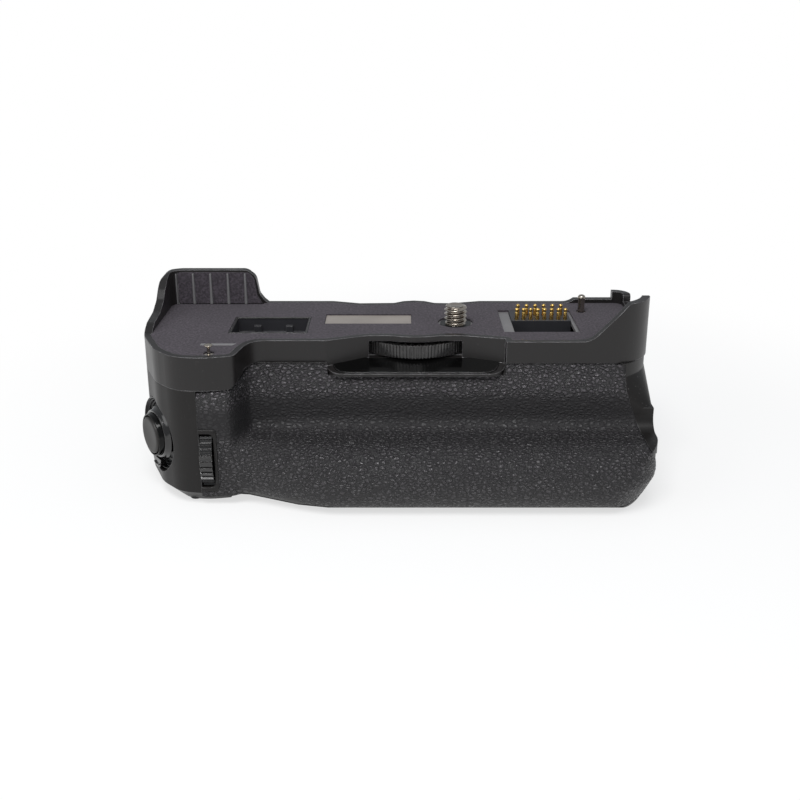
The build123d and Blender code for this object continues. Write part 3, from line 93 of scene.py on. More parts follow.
class Graph:
    """A node tree under construction."""

    def __init__(self, tree: bpy.types.NodeTree) -> None:
        """Takes over an empty tree.

        Args:
            tree: The material's or group's node tree.
        """
        self.tree = tree

    def add(self, kind: str, **values: object) -> bpy.types.Node:
        """Adds one node.

        Args:
            kind: The node's type name without the ShaderNode prefix.
            **values: Node properties to set.

        Returns:
            The new node.
        """
        name = kind if kind.startswith("NodeGroup") else "ShaderNode" + kind
        node = self.tree.nodes.new(name)
        for key, value in values.items():
            setattr(node, key, value)
        return node

    def place(self) -> Socket:
        """The point's place in the object's own space, in metres."""
        return self.add("TexCoord").outputs["Object"]

    def join(self, source: Socket, target: Socket) -> None:
        """Links an output to an input.

        Args:
            source: The output socket.
            target: The input socket.
        """
        self.tree.links.new(source, target)

    def feed(self, socket: Socket, value: Feed) -> None:
        """Links a socket's value, or sets it when it is a plain number or colour.

        Args:
            socket: The input socket.
            value: An output socket, or a number or tuple.
        """
        if isinstance(value, Socket):
            self.join(value, socket)
        else:
            socket.default_value = value

    def maths(self, operation: str, *values: Feed, clamp: bool = False) -> Socket:
        """One arithmetic node.

        Args:
            operation: Blender's name of the operation.
            *values: Sockets or numbers for its inputs.
            clamp: Whether the result is kept between 0 and 1.

        Returns:
            The result's socket.
        """
        node = self.add("Math", operation=operation, use_clamp=clamp)
        for index, value in enumerate(values):
            self.feed(node.inputs[index], value)
        return node.outputs[0]

    def less(self, mask: Socket, share: float) -> Socket:
        """What is left of one where a mask takes its share."""
        return self.maths("SUBTRACT", 1.0, self.maths("MULTIPLY", mask, share))

    def upward(self, vector: Socket) -> Socket:
        """A vector's part along Z.

        Args:
            vector: The vector's socket.

        Returns:
            The part's socket.
        """
        part = self.add("SeparateXYZ")
        self.join(vector, part.inputs[0])
        return part.outputs["Z"]

    def span(
        self, value: Feed, low: float, high: float, to_low: float = 0.0, to_high: float = 1.0
    ) -> Socket:
        """Maps a range smoothly on to another.

        Args:
            value: The socket to map.
            low: Where the range starts.
            high: Where it ends.
            to_low: The result at its start.
            to_high: The result at its end.

        Returns:
            The result's socket.
        """
        node = self.add("MapRange", interpolation_type="SMOOTHSTEP")
        for index, item in enumerate((value, low, high, to_low, to_high)):
            self.feed(node.inputs[index], item)
        return node.outputs[0]

    def blend(self, factor: Feed, first: Feed, second: Feed) -> Socket:
        """Mixes two colours.

        Args:
            factor: How much of the second.
            first: The first colour.
            second: The second colour.

        Returns:
            The mixed colour's socket.
        """
        node = self.add("Mix", data_type="RGBA")
        self.feed(node.inputs[0], factor)
        self.feed(node.inputs[6], first)
        self.feed(node.inputs[7], second)
        return node.outputs[2]

    def noise(self, vector: Socket, scale: Feed, detail: float = 3.0, rough: float = 0.55) -> Socket:
        """A noise field.

        Args:
            vector: Where it is read.
            scale: Features per metre.
            detail: Octaves.
            rough: How strong the finer octaves are.

        Returns:
            The value's socket.
        """
        node = self.add("TexNoise")
        self.join(vector, node.inputs["Vector"])
        self.feed(node.inputs["Scale"], scale)
        node.inputs["Detail"].default_value = detail
        node.inputs["Roughness"].default_value = rough
        return node.outputs["Fac"]

    def bump(
        self, surface: bpy.types.Node, height: Socket, depth: float, strength: float = 1.0
    ) -> bpy.types.Node:
        """Puts a relief on a surface.

        Args:
            surface: The Principled BSDF.
            height: The relief, in shares of its depth.
            depth: Its depth in millimetres.
            strength: How much of it shows.

        Returns:
            The Bump node.
        """
        node = self.add("Bump")
        node.inputs["Strength"].default_value = strength
        node.inputs["Distance"].default_value = depth * MM
        self.join(height, node.inputs["Height"])
        self.join(node.outputs["Normal"], surface.inputs["Normal"])
        return node


@dataclass
class Effects:
    """The shader groups that several finishes share, with what they are tuned to."""

    wide_grain: float = 0.12
    turned_edge: Pair = (0.97, 0.8)
    edge_samples: int = 6
    rub_and_highlight_scale: float = 420.0
    rub_and_highlight_noise: Pair = (0.35, 0.65)
    least_rub_and_highlight: float = 0.35
    speck_noise: Pair = (0.66, 0.74)
    facing_up: Pair = (-0.1, 0.7)
    least_dust: float = 0.15
    patch_noise: Pair = (0.3, 0.7)

    def __post_init__(self) -> None:
        """Builds every group once."""
        self.grain = self._grain()
        self.edge_wear_and_highlight = self._edge_wear_and_highlight()
        self.dust = self._dust()
        self.tone = self._tone()

    @staticmethod
    def _open(
        name: str, inputs: dict[str, float], outputs: dict[str, str]
    ) -> tuple[Graph, bpy.types.NodeOutputs, bpy.types.NodeInputs]:
        """Starts a group.

        Args:
            name: The group's name.
            inputs: Its number inputs and their defaults.
            outputs: Its outputs and their socket types.

        Returns:
            The graph, the sockets that it is given and those that it puts out.
        """
        tree = bpy.data.node_groups.new(name, "ShaderNodeTree")
        for key, value in inputs.items():
            socket = tree.interface.new_socket(key, in_out="INPUT", socket_type="NodeSocketFloat")
            socket.default_value = value
        for key, kind in outputs.items():
            tree.interface.new_socket(key, in_out="OUTPUT", socket_type=kind)
        graph = Graph(tree)
        return graph, graph.add("NodeGroupInput").outputs, graph.add("NodeGroupOutput").inputs

    def _grain(self) -> bpy.types.NodeTree:
        """The fine spark-eroded texture of moulded plastic.

        Returns:
            The group, with a Height that varies about one half.
        """
        graph, given, result = self._open(
            "mould_grain", {"Scale": 2600.0, "Softness": 0.5}, {"Height": "NodeSocketFloat"}
        )
        place = graph.place()
        fine = graph.noise(place, given["Scale"], detail=2.0)
        wide_scale = graph.maths("MULTIPLY", given["Scale"], self.wide_grain)
        wide = graph.noise(place, wide_scale, detail=2.0)
        node = graph.add("Mix", data_type="FLOAT")
        graph.join(given["Softness"], node.inputs[0])
        graph.join(fine, node.inputs[2])
        graph.join(wide, node.inputs[3])
        graph.join(node.outputs[0], result["Height"])
        return graph.tree

    def _edge_wear_and_highlight(self) -> bpy.types.NodeTree:
        """Edges rounded, and made paler by edge wear from handling together with a painted edge highlight.

        Returns:
            The group, with the rounded Normal and a mask of the edge wear and painted edge highlight.
        """
        graph, given, result = self._open(
            "rubbed_and_highlit_edges",
            {"Radius": 0.0004, "Amount": 0.5},
            {"Normal": "NodeSocketVector", "Wear and Highlight": "NodeSocketFloat"},
        )
        bevel = graph.add("Bevel", samples=self.edge_samples)
        graph.join(given["Radius"], bevel.inputs["Radius"])
        dot = graph.add("VectorMath", operation="DOT_PRODUCT")
        graph.join(bevel.outputs["Normal"], dot.inputs[0])
        graph.join(graph.add("NewGeometry").outputs["Normal"], dot.inputs[1])
        edge = graph.span(dot.outputs["Value"], *self.turned_edge)
        # Patchy noise breaks up the edge wear and the painted edge highlight alike.
        patchy = graph.noise(graph.place(), self.rub_and_highlight_scale, detail=4.0)
        broken = graph.span(patchy, *self.rub_and_highlight_noise, to_low=self.least_rub_and_highlight)
        worn_and_highlit = graph.maths("MULTIPLY", edge, broken)
        graph.join(graph.maths("MULTIPLY", worn_and_highlit, given["Amount"]), result["Wear and Highlight"])
        graph.join(bevel.outputs["Normal"], result["Normal"])
        return graph.tree

    def _dust(self) -> bpy.types.NodeTree:
        """Specks and lint that settle on upward faces.

        Returns:
            The group, with a Dust mask.
        """
        graph, given, result = self._open(
            "settled_dust", {"Amount": 0.2, "Scale": 1500.0}, {"Dust": "NodeSocketFloat"}
        )
        specks = graph.span(graph.noise(graph.place(), given["Scale"], detail=2.0), *self.speck_noise)
        facing = graph.upward(graph.add("NewGeometry").outputs["Normal"])
        upward = graph.span(facing, *self.facing_up, to_low=self.least_dust)
        dust = graph.maths("MULTIPLY", graph.maths("MULTIPLY", specks, upward), given["Amount"])
        graph.join(dust, result["Dust"])
        return graph.tree

    def _tone(self) -> bpy.types.NodeTree:
        """Slow changes of shade and shine across a surface.

        Returns:
            The group, with a Shade that varies from 0 to 1.
        """
        graph, given, result = self._open("slow_tone", {"Scale": 60.0}, {"Shade": "NodeSocketFloat"})
        patch = graph.noise(graph.place(), given["Scale"])
        graph.join(graph.span(patch, *self.patch_noise), result["Shade"])
        return graph.tree


def opaque(colour: Triple, share: float = 1.0) -> tuple[float, float, float, float]:
    """A colour with full alpha.

    Args:
        colour: Its red, green and blue.
        share: How much darker or brighter it gets.

    Returns:
        The colour as a socket takes it.
    """
    red, green, blue = (channel * share for channel in colour)
    return red, green, blue, 1.0


def open_material(slot: Slot) -> tuple[Graph, bpy.types.Node, bpy.types.Material]:
    """Starts a material with a Principled BSDF.

    Args:
        slot: The slot whose finish it is.

    Returns:
        The graph, its Principled BSDF and the material.
    """
    material = bpy.data.materials.new("finish_" + slot.value)
    material.use_nodes = True
    material.node_tree.nodes.clear()
    graph = Graph(material.node_tree)
    surface = graph.add("BsdfPrincipled")
    output = graph.add("OutputMaterial")
    graph.join(surface.outputs[0], output.inputs["Surface"])
    return graph, surface, material


def place_group(graph: Graph, tree: bpy.types.NodeTree, **values: float) -> bpy.types.NodeOutputs:
    """Places a shared group in a material.

    Args:
        graph: The material's graph.
        tree: The group.
        **values: Its inputs.

    Returns:
        The group's output sockets.
    """
    node = graph.add("Group", node_tree=tree)
    for key, value in values.items():
        node.inputs[key].default_value = value
    return node.outputs


@dataclass(frozen=True)
class Finish:
    """A finish of moulded plastic, rubber or metal."""

    slot: Slot
    colour: Triple
    rough: float = 0.45
    metallic: float = 0.0
    grain: float = 0.25
    grain_scale: float = 2600.0
    grain_depth: float = 0.06
    softness: float = 0.4
    # edge, edge_lift and the wear colour give edge wear together with a painted edge highlight along
    # rounded edges.
    edge: float = 0.35
    edge_lift: float = 0.5
    wear_and_highlight_colour: Triple = (0.12, 0.118, 0.12)
    dust: float = 0.2
    dust_colour: Triple = (0.3, 0.29, 0.28)
    dust_rough: float = 0.3
    darkest: float = 0.82
    shine_spread: Pair = (0.92, 1.08)
    coat: float = 0.0
    coat_rough: float = 0.12
    specular: float = 0.5

    def build(self, effects: Effects) -> bpy.types.Material:
        """Makes the material.

        Args:
            effects: The shared shader groups.

        Returns:
            The finished material.
        """
        graph, surface, material = open_material(self.slot)
        rubbed_and_highlit = place_group(graph, effects.edge_wear_and_highlight, Radius=self.edge * MM, Amount=self.edge_lift)
        dust = place_group(graph, effects.dust, Amount=self.dust)["Dust"]
        shade = place_group(graph, effects.tone)["Shade"]
        grain = place_group(graph, effects.grain, Scale=self.grain_scale, Softness=self.softness)
        colour = graph.blend(shade, opaque(self.colour, self.darkest), opaque(self.colour))
        # Edge wear and painted edge highlight: a paler colour along rounded edges.
        colour = graph.blend(rubbed_and_highlit["Wear and Highlight"], colour, opaque(self.wear_and_highlight_colour))
        colour = graph.blend(dust, colour, opaque(self.dust_colour))
        graph.join(colour, surface.inputs["Base Color"])
        smoothest, roughest = self.shine_spread
        shine = graph.span(shade, 0.0, 1.0, self.rough * smoothest, self.rough * roughest)
        rougher = graph.maths("MULTIPLY", dust, self.dust_rough)
        graph.join(graph.maths("ADD", shine, rougher, clamp=True), surface.inputs["Roughness"])
        bump = graph.bump(surface, grain["Height"], self.grain_depth, self.grain)
        graph.join(rubbed_and_highlit["Normal"], bump.inputs["Normal"])
        surface.inputs["Metallic"].default_value = self.metallic
        surface.inputs["Coat Weight"].default_value = self.coat
        surface.inputs["Coat Roughness"].default_value = self.coat_rough
        surface.inputs["Specular IOR Level"].default_value = self.specular
        return material


@dataclass(frozen=True)
class Leather:
    """The pebbled grip covering, with painted light on the band above the hollow under the deck, painted
    shade in the hollow and painted shade in the creases between pebbles.
    """

    slot: Slot = Slot.LEATHER
    colour: Triple = (0.036, 0.0325, 0.036)
    # The crease colour is painted shade between the pebbles.
    painted_crease_shade: float = 0.3
    painted_brow_light: float = 1.7
    hollow: tuple[float, float, float, float] = (-13.0, -16.5, -21.5, -24.5)
    painted_hollow_shade: float = 0.95
    hollow_flattening: float = 0.6
    hollow_rough: float = 0.25
    cells: float = 1150.0
    drawn_out: Triple = (0.62, 1.0, 1.0)
    sway_share: float = 0.7
    sway: float = 0.6
    small_share: float = 2.3
    small_height: float = 0.22
    fine_scale: float = 3800.0
    fine_height: float = 0.12
    crease: float = 0.32
    crown: Pair = (0.15, 0.9)
    crown_rough: Pair = (0.5, 0.25)
    tone_scale: float = 45.0
    tone_rough: Pair = (-0.03, 0.04)
    dust: float = 0.12
    dust_colour: Triple = (0.2, 0.2, 0.2)
    relief: float = 0.27

    def build(self, effects: Effects) -> bpy.types.Material:
        """Makes the material.

        Args:
            effects: The shared shader groups.

        Returns:
            The finished material.
        """
        graph, surface, material = open_material(self.slot)
        place = graph.place()
        pebbles, height = self._relief(graph, place)
        level = graph.upward(place)
        brow, start, end, crest = (edge * MM for edge in self.hollow)
        hollow = graph.maths("MULTIPLY", graph.span(level, brow, start), graph.span(level, crest, end))
        crown = graph.span(pebbles, *self.crown)
        # Painted shade: in the hollow under the deck even the crowns take the dark crease colour.
        lit = graph.maths("MULTIPLY", crown, graph.less(hollow, self.painted_hollow_shade))
        # Painted light: the band above the hollow gets a brighter copy of the leather's colour.
        painted_brow_light_colour = opaque(self.colour, self.painted_brow_light)
        colour_with_painted_brow_light = graph.blend(graph.span(level, start, brow), opaque(self.colour), painted_brow_light_colour)
        # Painted shade: the creases between pebbles get a darker copy of the leather's colour.
        colour = graph.blend(lit, opaque(self.colour, self.painted_crease_shade), colour_with_painted_brow_light)
        dust = place_group(graph, effects.dust, Amount=self.dust)["Dust"]
        colour = graph.blend(dust, colour, opaque(self.dust_colour))
        graph.join(colour, surface.inputs["Base Color"])
        shine = graph.span(crown, 0.0, 1.0, *self.crown_rough)
        toned = place_group(graph, effects.tone, Scale=self.tone_scale)["Shade"]
        shade = graph.span(toned, 0.0, 1.0, *self.tone_rough)
        dull = graph.maths("MULTIPLY_ADD", hollow, self.hollow_rough, shade)
        graph.join(graph.maths("ADD", shine, dull), surface.inputs["Roughness"])
        height = graph.maths("MULTIPLY", height, graph.less(hollow, self.hollow_flattening))
        graph.bump(surface, height, self.relief)
        return material

    def _relief(self, graph: Graph, place: Socket) -> tuple[Socket, Socket]:
        """Pebbles of two sizes, drawn out along the grip, with a fine grain over them.

        Args:
            graph: The material's graph.
            place: Where they are read.

        Returns:
            The height of the large pebbles, and that of all together.
        """
        drawn = graph.add("Mapping")
        drawn.inputs["Scale"].default_value = self.drawn_out
        graph.join(place, drawn.inputs["Vector"])
        sway = graph.add("TexNoise")
        sway.inputs["Scale"].default_value = self.cells * self.sway_share
        graph.join(drawn.outputs[0], sway.inputs["Vector"])
        wander = graph.add("VectorMath", operation="MULTIPLY_ADD")
        graph.join(sway.outputs["Color"], wander.inputs[0])
        wander.inputs[1].default_value = (self.sway * MM,) * 3
        graph.join(drawn.outputs[0], wander.inputs[2])
        pebbles = self._cells(graph, wander.outputs[0], self.cells)
        small = self._cells(graph, wander.outputs[0], self.cells * self.small_share)
        fine = graph.noise(place, self.fine_scale)
        height = graph.maths("ADD", pebbles, graph.maths("MULTIPLY", small, self.small_height))
        height = graph.maths("ADD", height, graph.maths("MULTIPLY", fine, self.fine_height))
        return pebbles, height

    def _cells(self, graph: Graph, vector: Socket, scale: float) -> Socket:
        """Rounded pebbles parted by creases.

        Args:
            graph: The material's graph.
            vector: Where the cells are read.
            scale: Cells per metre.

        Returns:
            A height from 0 in the creases to 1 on the crowns.
        """
        node = graph.add("TexVoronoi", feature="DISTANCE_TO_EDGE")
        node.inputs["Scale"].default_value = scale
        graph.join(vector, node.inputs["Vector"])
        return graph.span(node.outputs["Distance"], 0.0, self.crease)


@dataclass(frozen=True)
class Felt:
    """The short nap on the deck."""

    slot: Slot = Slot.FELT
    colour: Triple = (0.034, 0.029, 0.035)
    lint: Triple = (0.098, 0.082, 0.1)
    nap_scale: float = 1500.0
    nap_detail: float = 4.0
    nap_rough: float = 0.7
    lint_noise: Pair = (0.4, 0.62)
    most_lint: float = 0.85
    clump_scale: float = 520.0
    clump_noise: Pair = (0.3, 0.7)
    clump_shade: float = 1.5
    most_clump: float = 0.5
    tone_scale: float = 70.0
    most_tone: float = 0.25
    rough: Pair = (0.85, 1.0)
    relief: float = 0.16
    relief_strength: float = 0.8
    sheen: float = 0.08
    sheen_rough: float = 0.6
    specular: float = 0.2

    def build(self, effects: Effects) -> bpy.types.Material:
        """Makes the material.

        Args:
            effects: The shared shader groups.

        Returns:
            The finished material.
        """
        graph, surface, material = open_material(self.slot)
        place = graph.place()
        nap = graph.noise(place, self.nap_scale, self.nap_detail, self.nap_rough)
        clumps = graph.noise(place, self.clump_scale)
        base = opaque(self.colour)
        linty = graph.span(nap, *self.lint_noise, to_high=self.most_lint)
        colour = graph.blend(linty, base, opaque(self.lint))
        soft = graph.span(clumps, *self.clump_noise, to_high=self.most_clump)
        colour = graph.blend(soft, colour, opaque(self.colour, self.clump_shade))
        toned = place_group(graph, effects.tone, Scale=self.tone_scale)["Shade"]
        colour = graph.blend(graph.span(toned, 0.0, 1.0, to_high=self.most_tone), colour, base)
        graph.join(colour, surface.inputs["Base Color"])
        graph.join(graph.span(nap, 0.0, 1.0, *self.rough), surface.inputs["Roughness"])
        graph.bump(surface, graph.maths("ADD", nap, clumps), self.relief, self.relief_strength)
        surface.inputs["Sheen Weight"].default_value = self.sheen
        surface.inputs["Sheen Roughness"].default_value = self.sheen_rough
        surface.inputs["Specular IOR Level"].default_value = self.specular
        return material


# The wear colours stand for edge wear and painted edge highlight; on the frame, the dials and the metals
# they are far paler than the body.
FINISHES = (
    Finish(Slot.FRAME, (0.013, 0.0115, 0.0115), rough=0.36, edge_lift=1.0, wear_and_highlight_colour=(0.3, 0.29, 0.3),
           specular=0.4),
    Finish(Slot.CASING, (0.011, 0.0098, 0.0094), rough=0.42, edge_lift=0.8, specular=0.28),
    Finish(Slot.GLOSS, (0.003, 0.003, 0.003), rough=0.12, grain=0.02, dust=0.03, edge=0.3, edge_lift=0.7,
           specular=0.2),
    Finish(Slot.INNER, (0.024, 0.024, 0.028), rough=0.45),
    Finish(Slot.DIAL, (0.008, 0.0075, 0.0075), rough=0.16, grain=0.03, edge=0.18, edge_lift=1.0,
           coat=0.4, wear_and_highlight_colour=(0.2, 0.19, 0.19)),
    Finish(Slot.BATTERY, (0.045, 0.045, 0.05), rough=0.4),
    Finish(Slot.RUBBER, (0.024, 0.0235, 0.024), rough=0.7, grain=0.5, softness=0.7),
    Finish(Slot.DECK_METAL, (0.2, 0.195, 0.2), rough=0.45, metallic=0.15, grain=0.1, edge=0.1),
    Finish(Slot.LABEL, (0.42, 0.375, 0.34), rough=0.42, metallic=0.5, edge=0.05, grain_scale=900.0),
    Finish(Slot.BRIGHT, (0.5, 0.45, 0.39), rough=0.2, metallic=1.0, edge=0.1, grain=0.1,
           wear_and_highlight_colour=(0.75, 0.72, 0.66)),
    Finish(Slot.DARK_METAL, (0.06, 0.06, 0.062), rough=0.4, metallic=1.0, edge=0.1),
    Finish(Slot.BUTTON, (0.022, 0.02, 0.019), rough=0.45, metallic=0.2, grain=0.1, edge=0.2),
    Finish(Slot.GOLD, (0.83, 0.56, 0.17), rough=0.2, metallic=1.0, edge=0.03, grain=0.05,
           wear_and_highlight_colour=(0.95, 0.78, 0.4)),
    Finish(Slot.BOARD, (0.01, 0.07, 0.03), rough=0.35, coat=0.4),
    Finish(Slot.LAMP, (0.03, 0.3, 0.06), rough=0.15, grain=0.03, coat=0.6),
)

NODE_SLOTS = {
    Slot.FRAME: ("top_frame", "wall_liner"),
    Slot.CASING: ("left_cover", "front_cover", "rear_cover", "bottom_cover", "tray_door"),
    Slot.GLOSS: ("shutter_lock_ring", "dial_bezel", "shutter_collar"),
    Slot.INNER: ("connector_block", "pocket_liner", "bay_chassis", "front_dial_carrier",
                 "rear_dial_carrier", "shutter_switch", "headphone_jack", "dc_in_jack", "battery_tray"),
    Slot.DIAL: ("attachment_wheel", "front_dial", "rear_dial", "focus_button", "exposure_button",
                "menu_button", "focus_lever", "mode_switch", "tray_latch"),
    Slot.BATTERY: ("battery_1", "battery_2"),
    Slot.FELT: ("deck_felt",),
    Slot.LEATHER: ("front_grip_skin", "rear_grip_skin"),
    Slot.RUBBER: ("terminal_cover",),
    Slot.DECK_METAL: ("deck_plate", "slot_strip", "wheel_bracket"),
    Slot.LABEL: ("label_plate",),
    Slot.BRIGHT: ("attachment_screw", "locating_pins", "tripod_socket"),
    Slot.DARK_METAL: ("screw_bush", "deck_screws", "base_screws", "wheel_axle", "terminal_pin"),
    Slot.BUTTON: ("shutter_button",),
    Slot.GOLD: ("contact_pins", "bay_contacts", "tray_contacts"),
    Slot.BOARD: ("main_board", "control_board"),
    Slot.LAMP: ("indicator_lamps",),
}


class Wardrobe:
    """Every finish, made once and put on the pieces."""

    def __init__(self) -> None:
        """Builds the groups and the materials."""
        effects = Effects()
        makers = FINISHES + (Leather(), Felt())
        self.materials = {maker.slot: maker.build(effects) for maker in makers}

    def dress(self, piece: bpy.types.Object, slot: Slot) -> bpy.types.Object:
        """Gives a piece its finish.

        Args:
            piece: The new piece or CAD node.
            slot: The record's slot for it.

        Returns:
            The same piece.
        """
        piece.data.materials.clear()
        piece.data.materials.append(self.materials[slot])
        return piece


def level_ring(radius: float, height: float, steps: int) -> Row:
    """A level ring of points about the Z axis.

    Args:
        radius: Its radius.
        height: Its height.
        steps: How many points it has.

    Returns:
        The points.
    """
    turns = (math.tau * index / steps for index in range(steps))
    return [Vector((radius * math.cos(turn), radius * math.sin(turn), height)) for turn in turns]


class Form:
    """A mesh under construction, in millimetres."""

    def __init__(self) -> None:
        """Starts empty."""
        self.points: list[Vector] = []
        self.faces: list[tuple[int, ...]] = []

    def rows(self, rows: Sequence[Row], ring: bool = False, caps: bool = False) -> None:
        """Joins successive rows of equal length with quads.

        Args:
            rows: The rows of points.
            ring: Whether each row closes on itself.
            caps: Whether the first and the last row are filled.
        """
        start = len(self.points)
        count = len(rows[0])
        for row in rows:
            self.points.extend(row)
        for number in range(len(rows) - 1):
            for index in range(count if ring else count - 1):
                first = start + number * count + index
                second = start + number * count + (index + 1) % count
                self.faces.append((first, second, second + count, first + count))
        if caps:
            last = start + (len(rows) - 1) * count
            self.faces.append(tuple(reversed(range(start, start + count))))
            self.faces.append(tuple(range(last, last + count)))

    def lathe(
        self, profile: Sequence[Pair], place: Matrix, steps: int = 64, hollow: bool = False
    ) -> None:
        """Turns a profile about an axis.

        Args:
            profile: Radius and height of each ring.
            place: Where the axis stands, with its local Z along it.
            steps: Points in each ring.
            hollow: Whether the profile closes on itself, which leaves a hole along the axis.
        """
        section = (*profile, profile[0]) if hollow else profile
        rings = (level_ring(radius, height, steps) for radius, height in section)
        self.rows([[place @ point for point in ring] for ring in rings], ring=True, caps=not hollow)

    def prism(self, outline: Sequence[Pair], low: float, high: float, place: Matrix) -> None:
        """A flat outline made solid along local Z.

        Args:
            outline: Its corners in order.
            low: Where it starts.
            high: Where it ends.
            place: Where its local frame stands.
        """
        rows = [[place @ Vector((x, y, height)) for x, y in outline] for height in (low, high)]
        self.rows(rows, ring=True, caps=True)


@dataclass
class Workshop:
    """Turns forms into dressed pieces that ride on the frame's bodies."""

    wardrobe: Wardrobe
    same_point: float = 0.001
    bevel_segments: int = 3

    def fit(
        self,
        form: Form,
        name: str,
        body: str,
        slot: Slot,
        nodes: Sequence[str] = (),
        bevel: float = 0.0,
        sharp: float = 40.0,
    ) -> bpy.types.Object:
        """Makes a piece from a form.

        Args:
            form: The form in millimetres.
            name: The piece's name.
            body: The body it rides on.
            slot: Its finish.
            nodes: The CAD nodes it stands for.
            bevel: Width of its rounded edges.
            sharp: Angle above which an edge stays sharp, in degrees.

        Returns:
            The piece.
        """
        mesh = bpy.data.meshes.new(name)
        mesh.from_pydata([point * MM for point in form.points], [], form.faces)
        work = bmesh.new()
        work.from_mesh(mesh)
        bmesh.ops.remove_doubles(work, verts=work.verts, dist=self.same_point * MM)
        bmesh.ops.recalc_face_normals(work, faces=work.faces)
        work.to_mesh(mesh)
        work.free()
        mesh.shade_smooth()
        mesh.set_sharp_from_angle(angle=math.radians(sharp))
        piece = bpy.data.objects.new(name, mesh)
        bpy.context.scene.collection.objects.link(piece)
        if bevel > 0.0:
            rounded = piece.modifiers.new("rounded_edges", "BEVEL")
            rounded.width = bevel * MM
            rounded.segments = self.bevel_segments
            rounded.limit_method = "ANGLE"
            rounded.angle_limit = math.radians(sharp)
            rounded.harden_normals = True
        self.wardrobe.dress(piece, slot)
        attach(piece, body)
        if nodes:
            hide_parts(*nodes)
        LOG.info("%s rides on %s", name, body)
        return piece


def smooth(share: float) -> float:
    """An even rise from 0 to 1.

    Args:
        share: How far along, clamped to 0 and 1.

    Returns:
        The eased share.
    """
    share = min(1.0, max(0.0, share))
    return share * share * (3.0 - 2.0 * share)


def rounded_path(corners: Sequence[Triple], step: float) -> list[Pair]:
    """An open path with rounded corners, in even steps.

    Args:
        corners: Each corner's two coordinates and its rounding radius.
        step: The distance between points.

    Returns:
        The points along it.
    """
    dense: list[Vector] = [Vector(corners[0][:2])]
    for before, here, after in zip(corners, corners[1:], corners[2:]):
        corner = Vector(here[:2])
        back = (Vector(before[:2]) - corner).normalized()
        ahead = (Vector(after[:2]) - corner).normalized()
        half = back.angle(ahead) / 2
        if here[2] <= 0.0 or half > ALMOST_STRAIGHT:
            dense.append(corner)
            continue
        run = here[2] / math.tan(half)
        centre = corner + (back + ahead).normalized() * (here[2] / math.sin(half))
        start = corner + back * run - centre
        finish = corner + ahead * run - centre
        sweep = start.angle_signed(finish)
        pieces = max(2, int(abs(sweep) * here[2] / step) + 1)
        for number in range(pieces + 1):
            turned = start.copy()
            turned.rotate(Matrix.Rotation(-sweep * number / pieces, 2))
            dense.append(centre + turned)
    dense.append(Vector(corners[-1][:2]))
    return even_steps(dense, step)


def even_steps(path: Sequence[Vector], step: float) -> list[Pair]:
    """Divides a path into equal steps.

    Args:
        path: Its points.
        step: About how long each step is.

    Returns:
        The new points.
    """
    spans = [(second - first).length for first, second in zip(path, path[1:])]
    total = sum(spans)
    count = max(1, round(total / step))
    points: list[Pair] = []
    index = 0
    walked = 0.0
    for number in range(count + 1):
        target = total * number / count
        while index < len(spans) - 1 and walked + spans[index] < target:
            walked += spans[index]
            index += 1
        share = (target - walked) / spans[index] if spans[index] > 0.0 else 0.0
        point = path[index].lerp(path[index + 1], min(1.0, share))
        points.append((point.x, point.y))
    return points


def upright_at(x: float, y: float, z: float = 0.0) -> Matrix:
    """A frame with its axis along +Z.

    Args:
        x: Where it stands, in millimetres.
        y: Where it stands.
        z: Its height.

    Returns:
        The frame.
    """
    return Matrix.Translation((x, y, z))


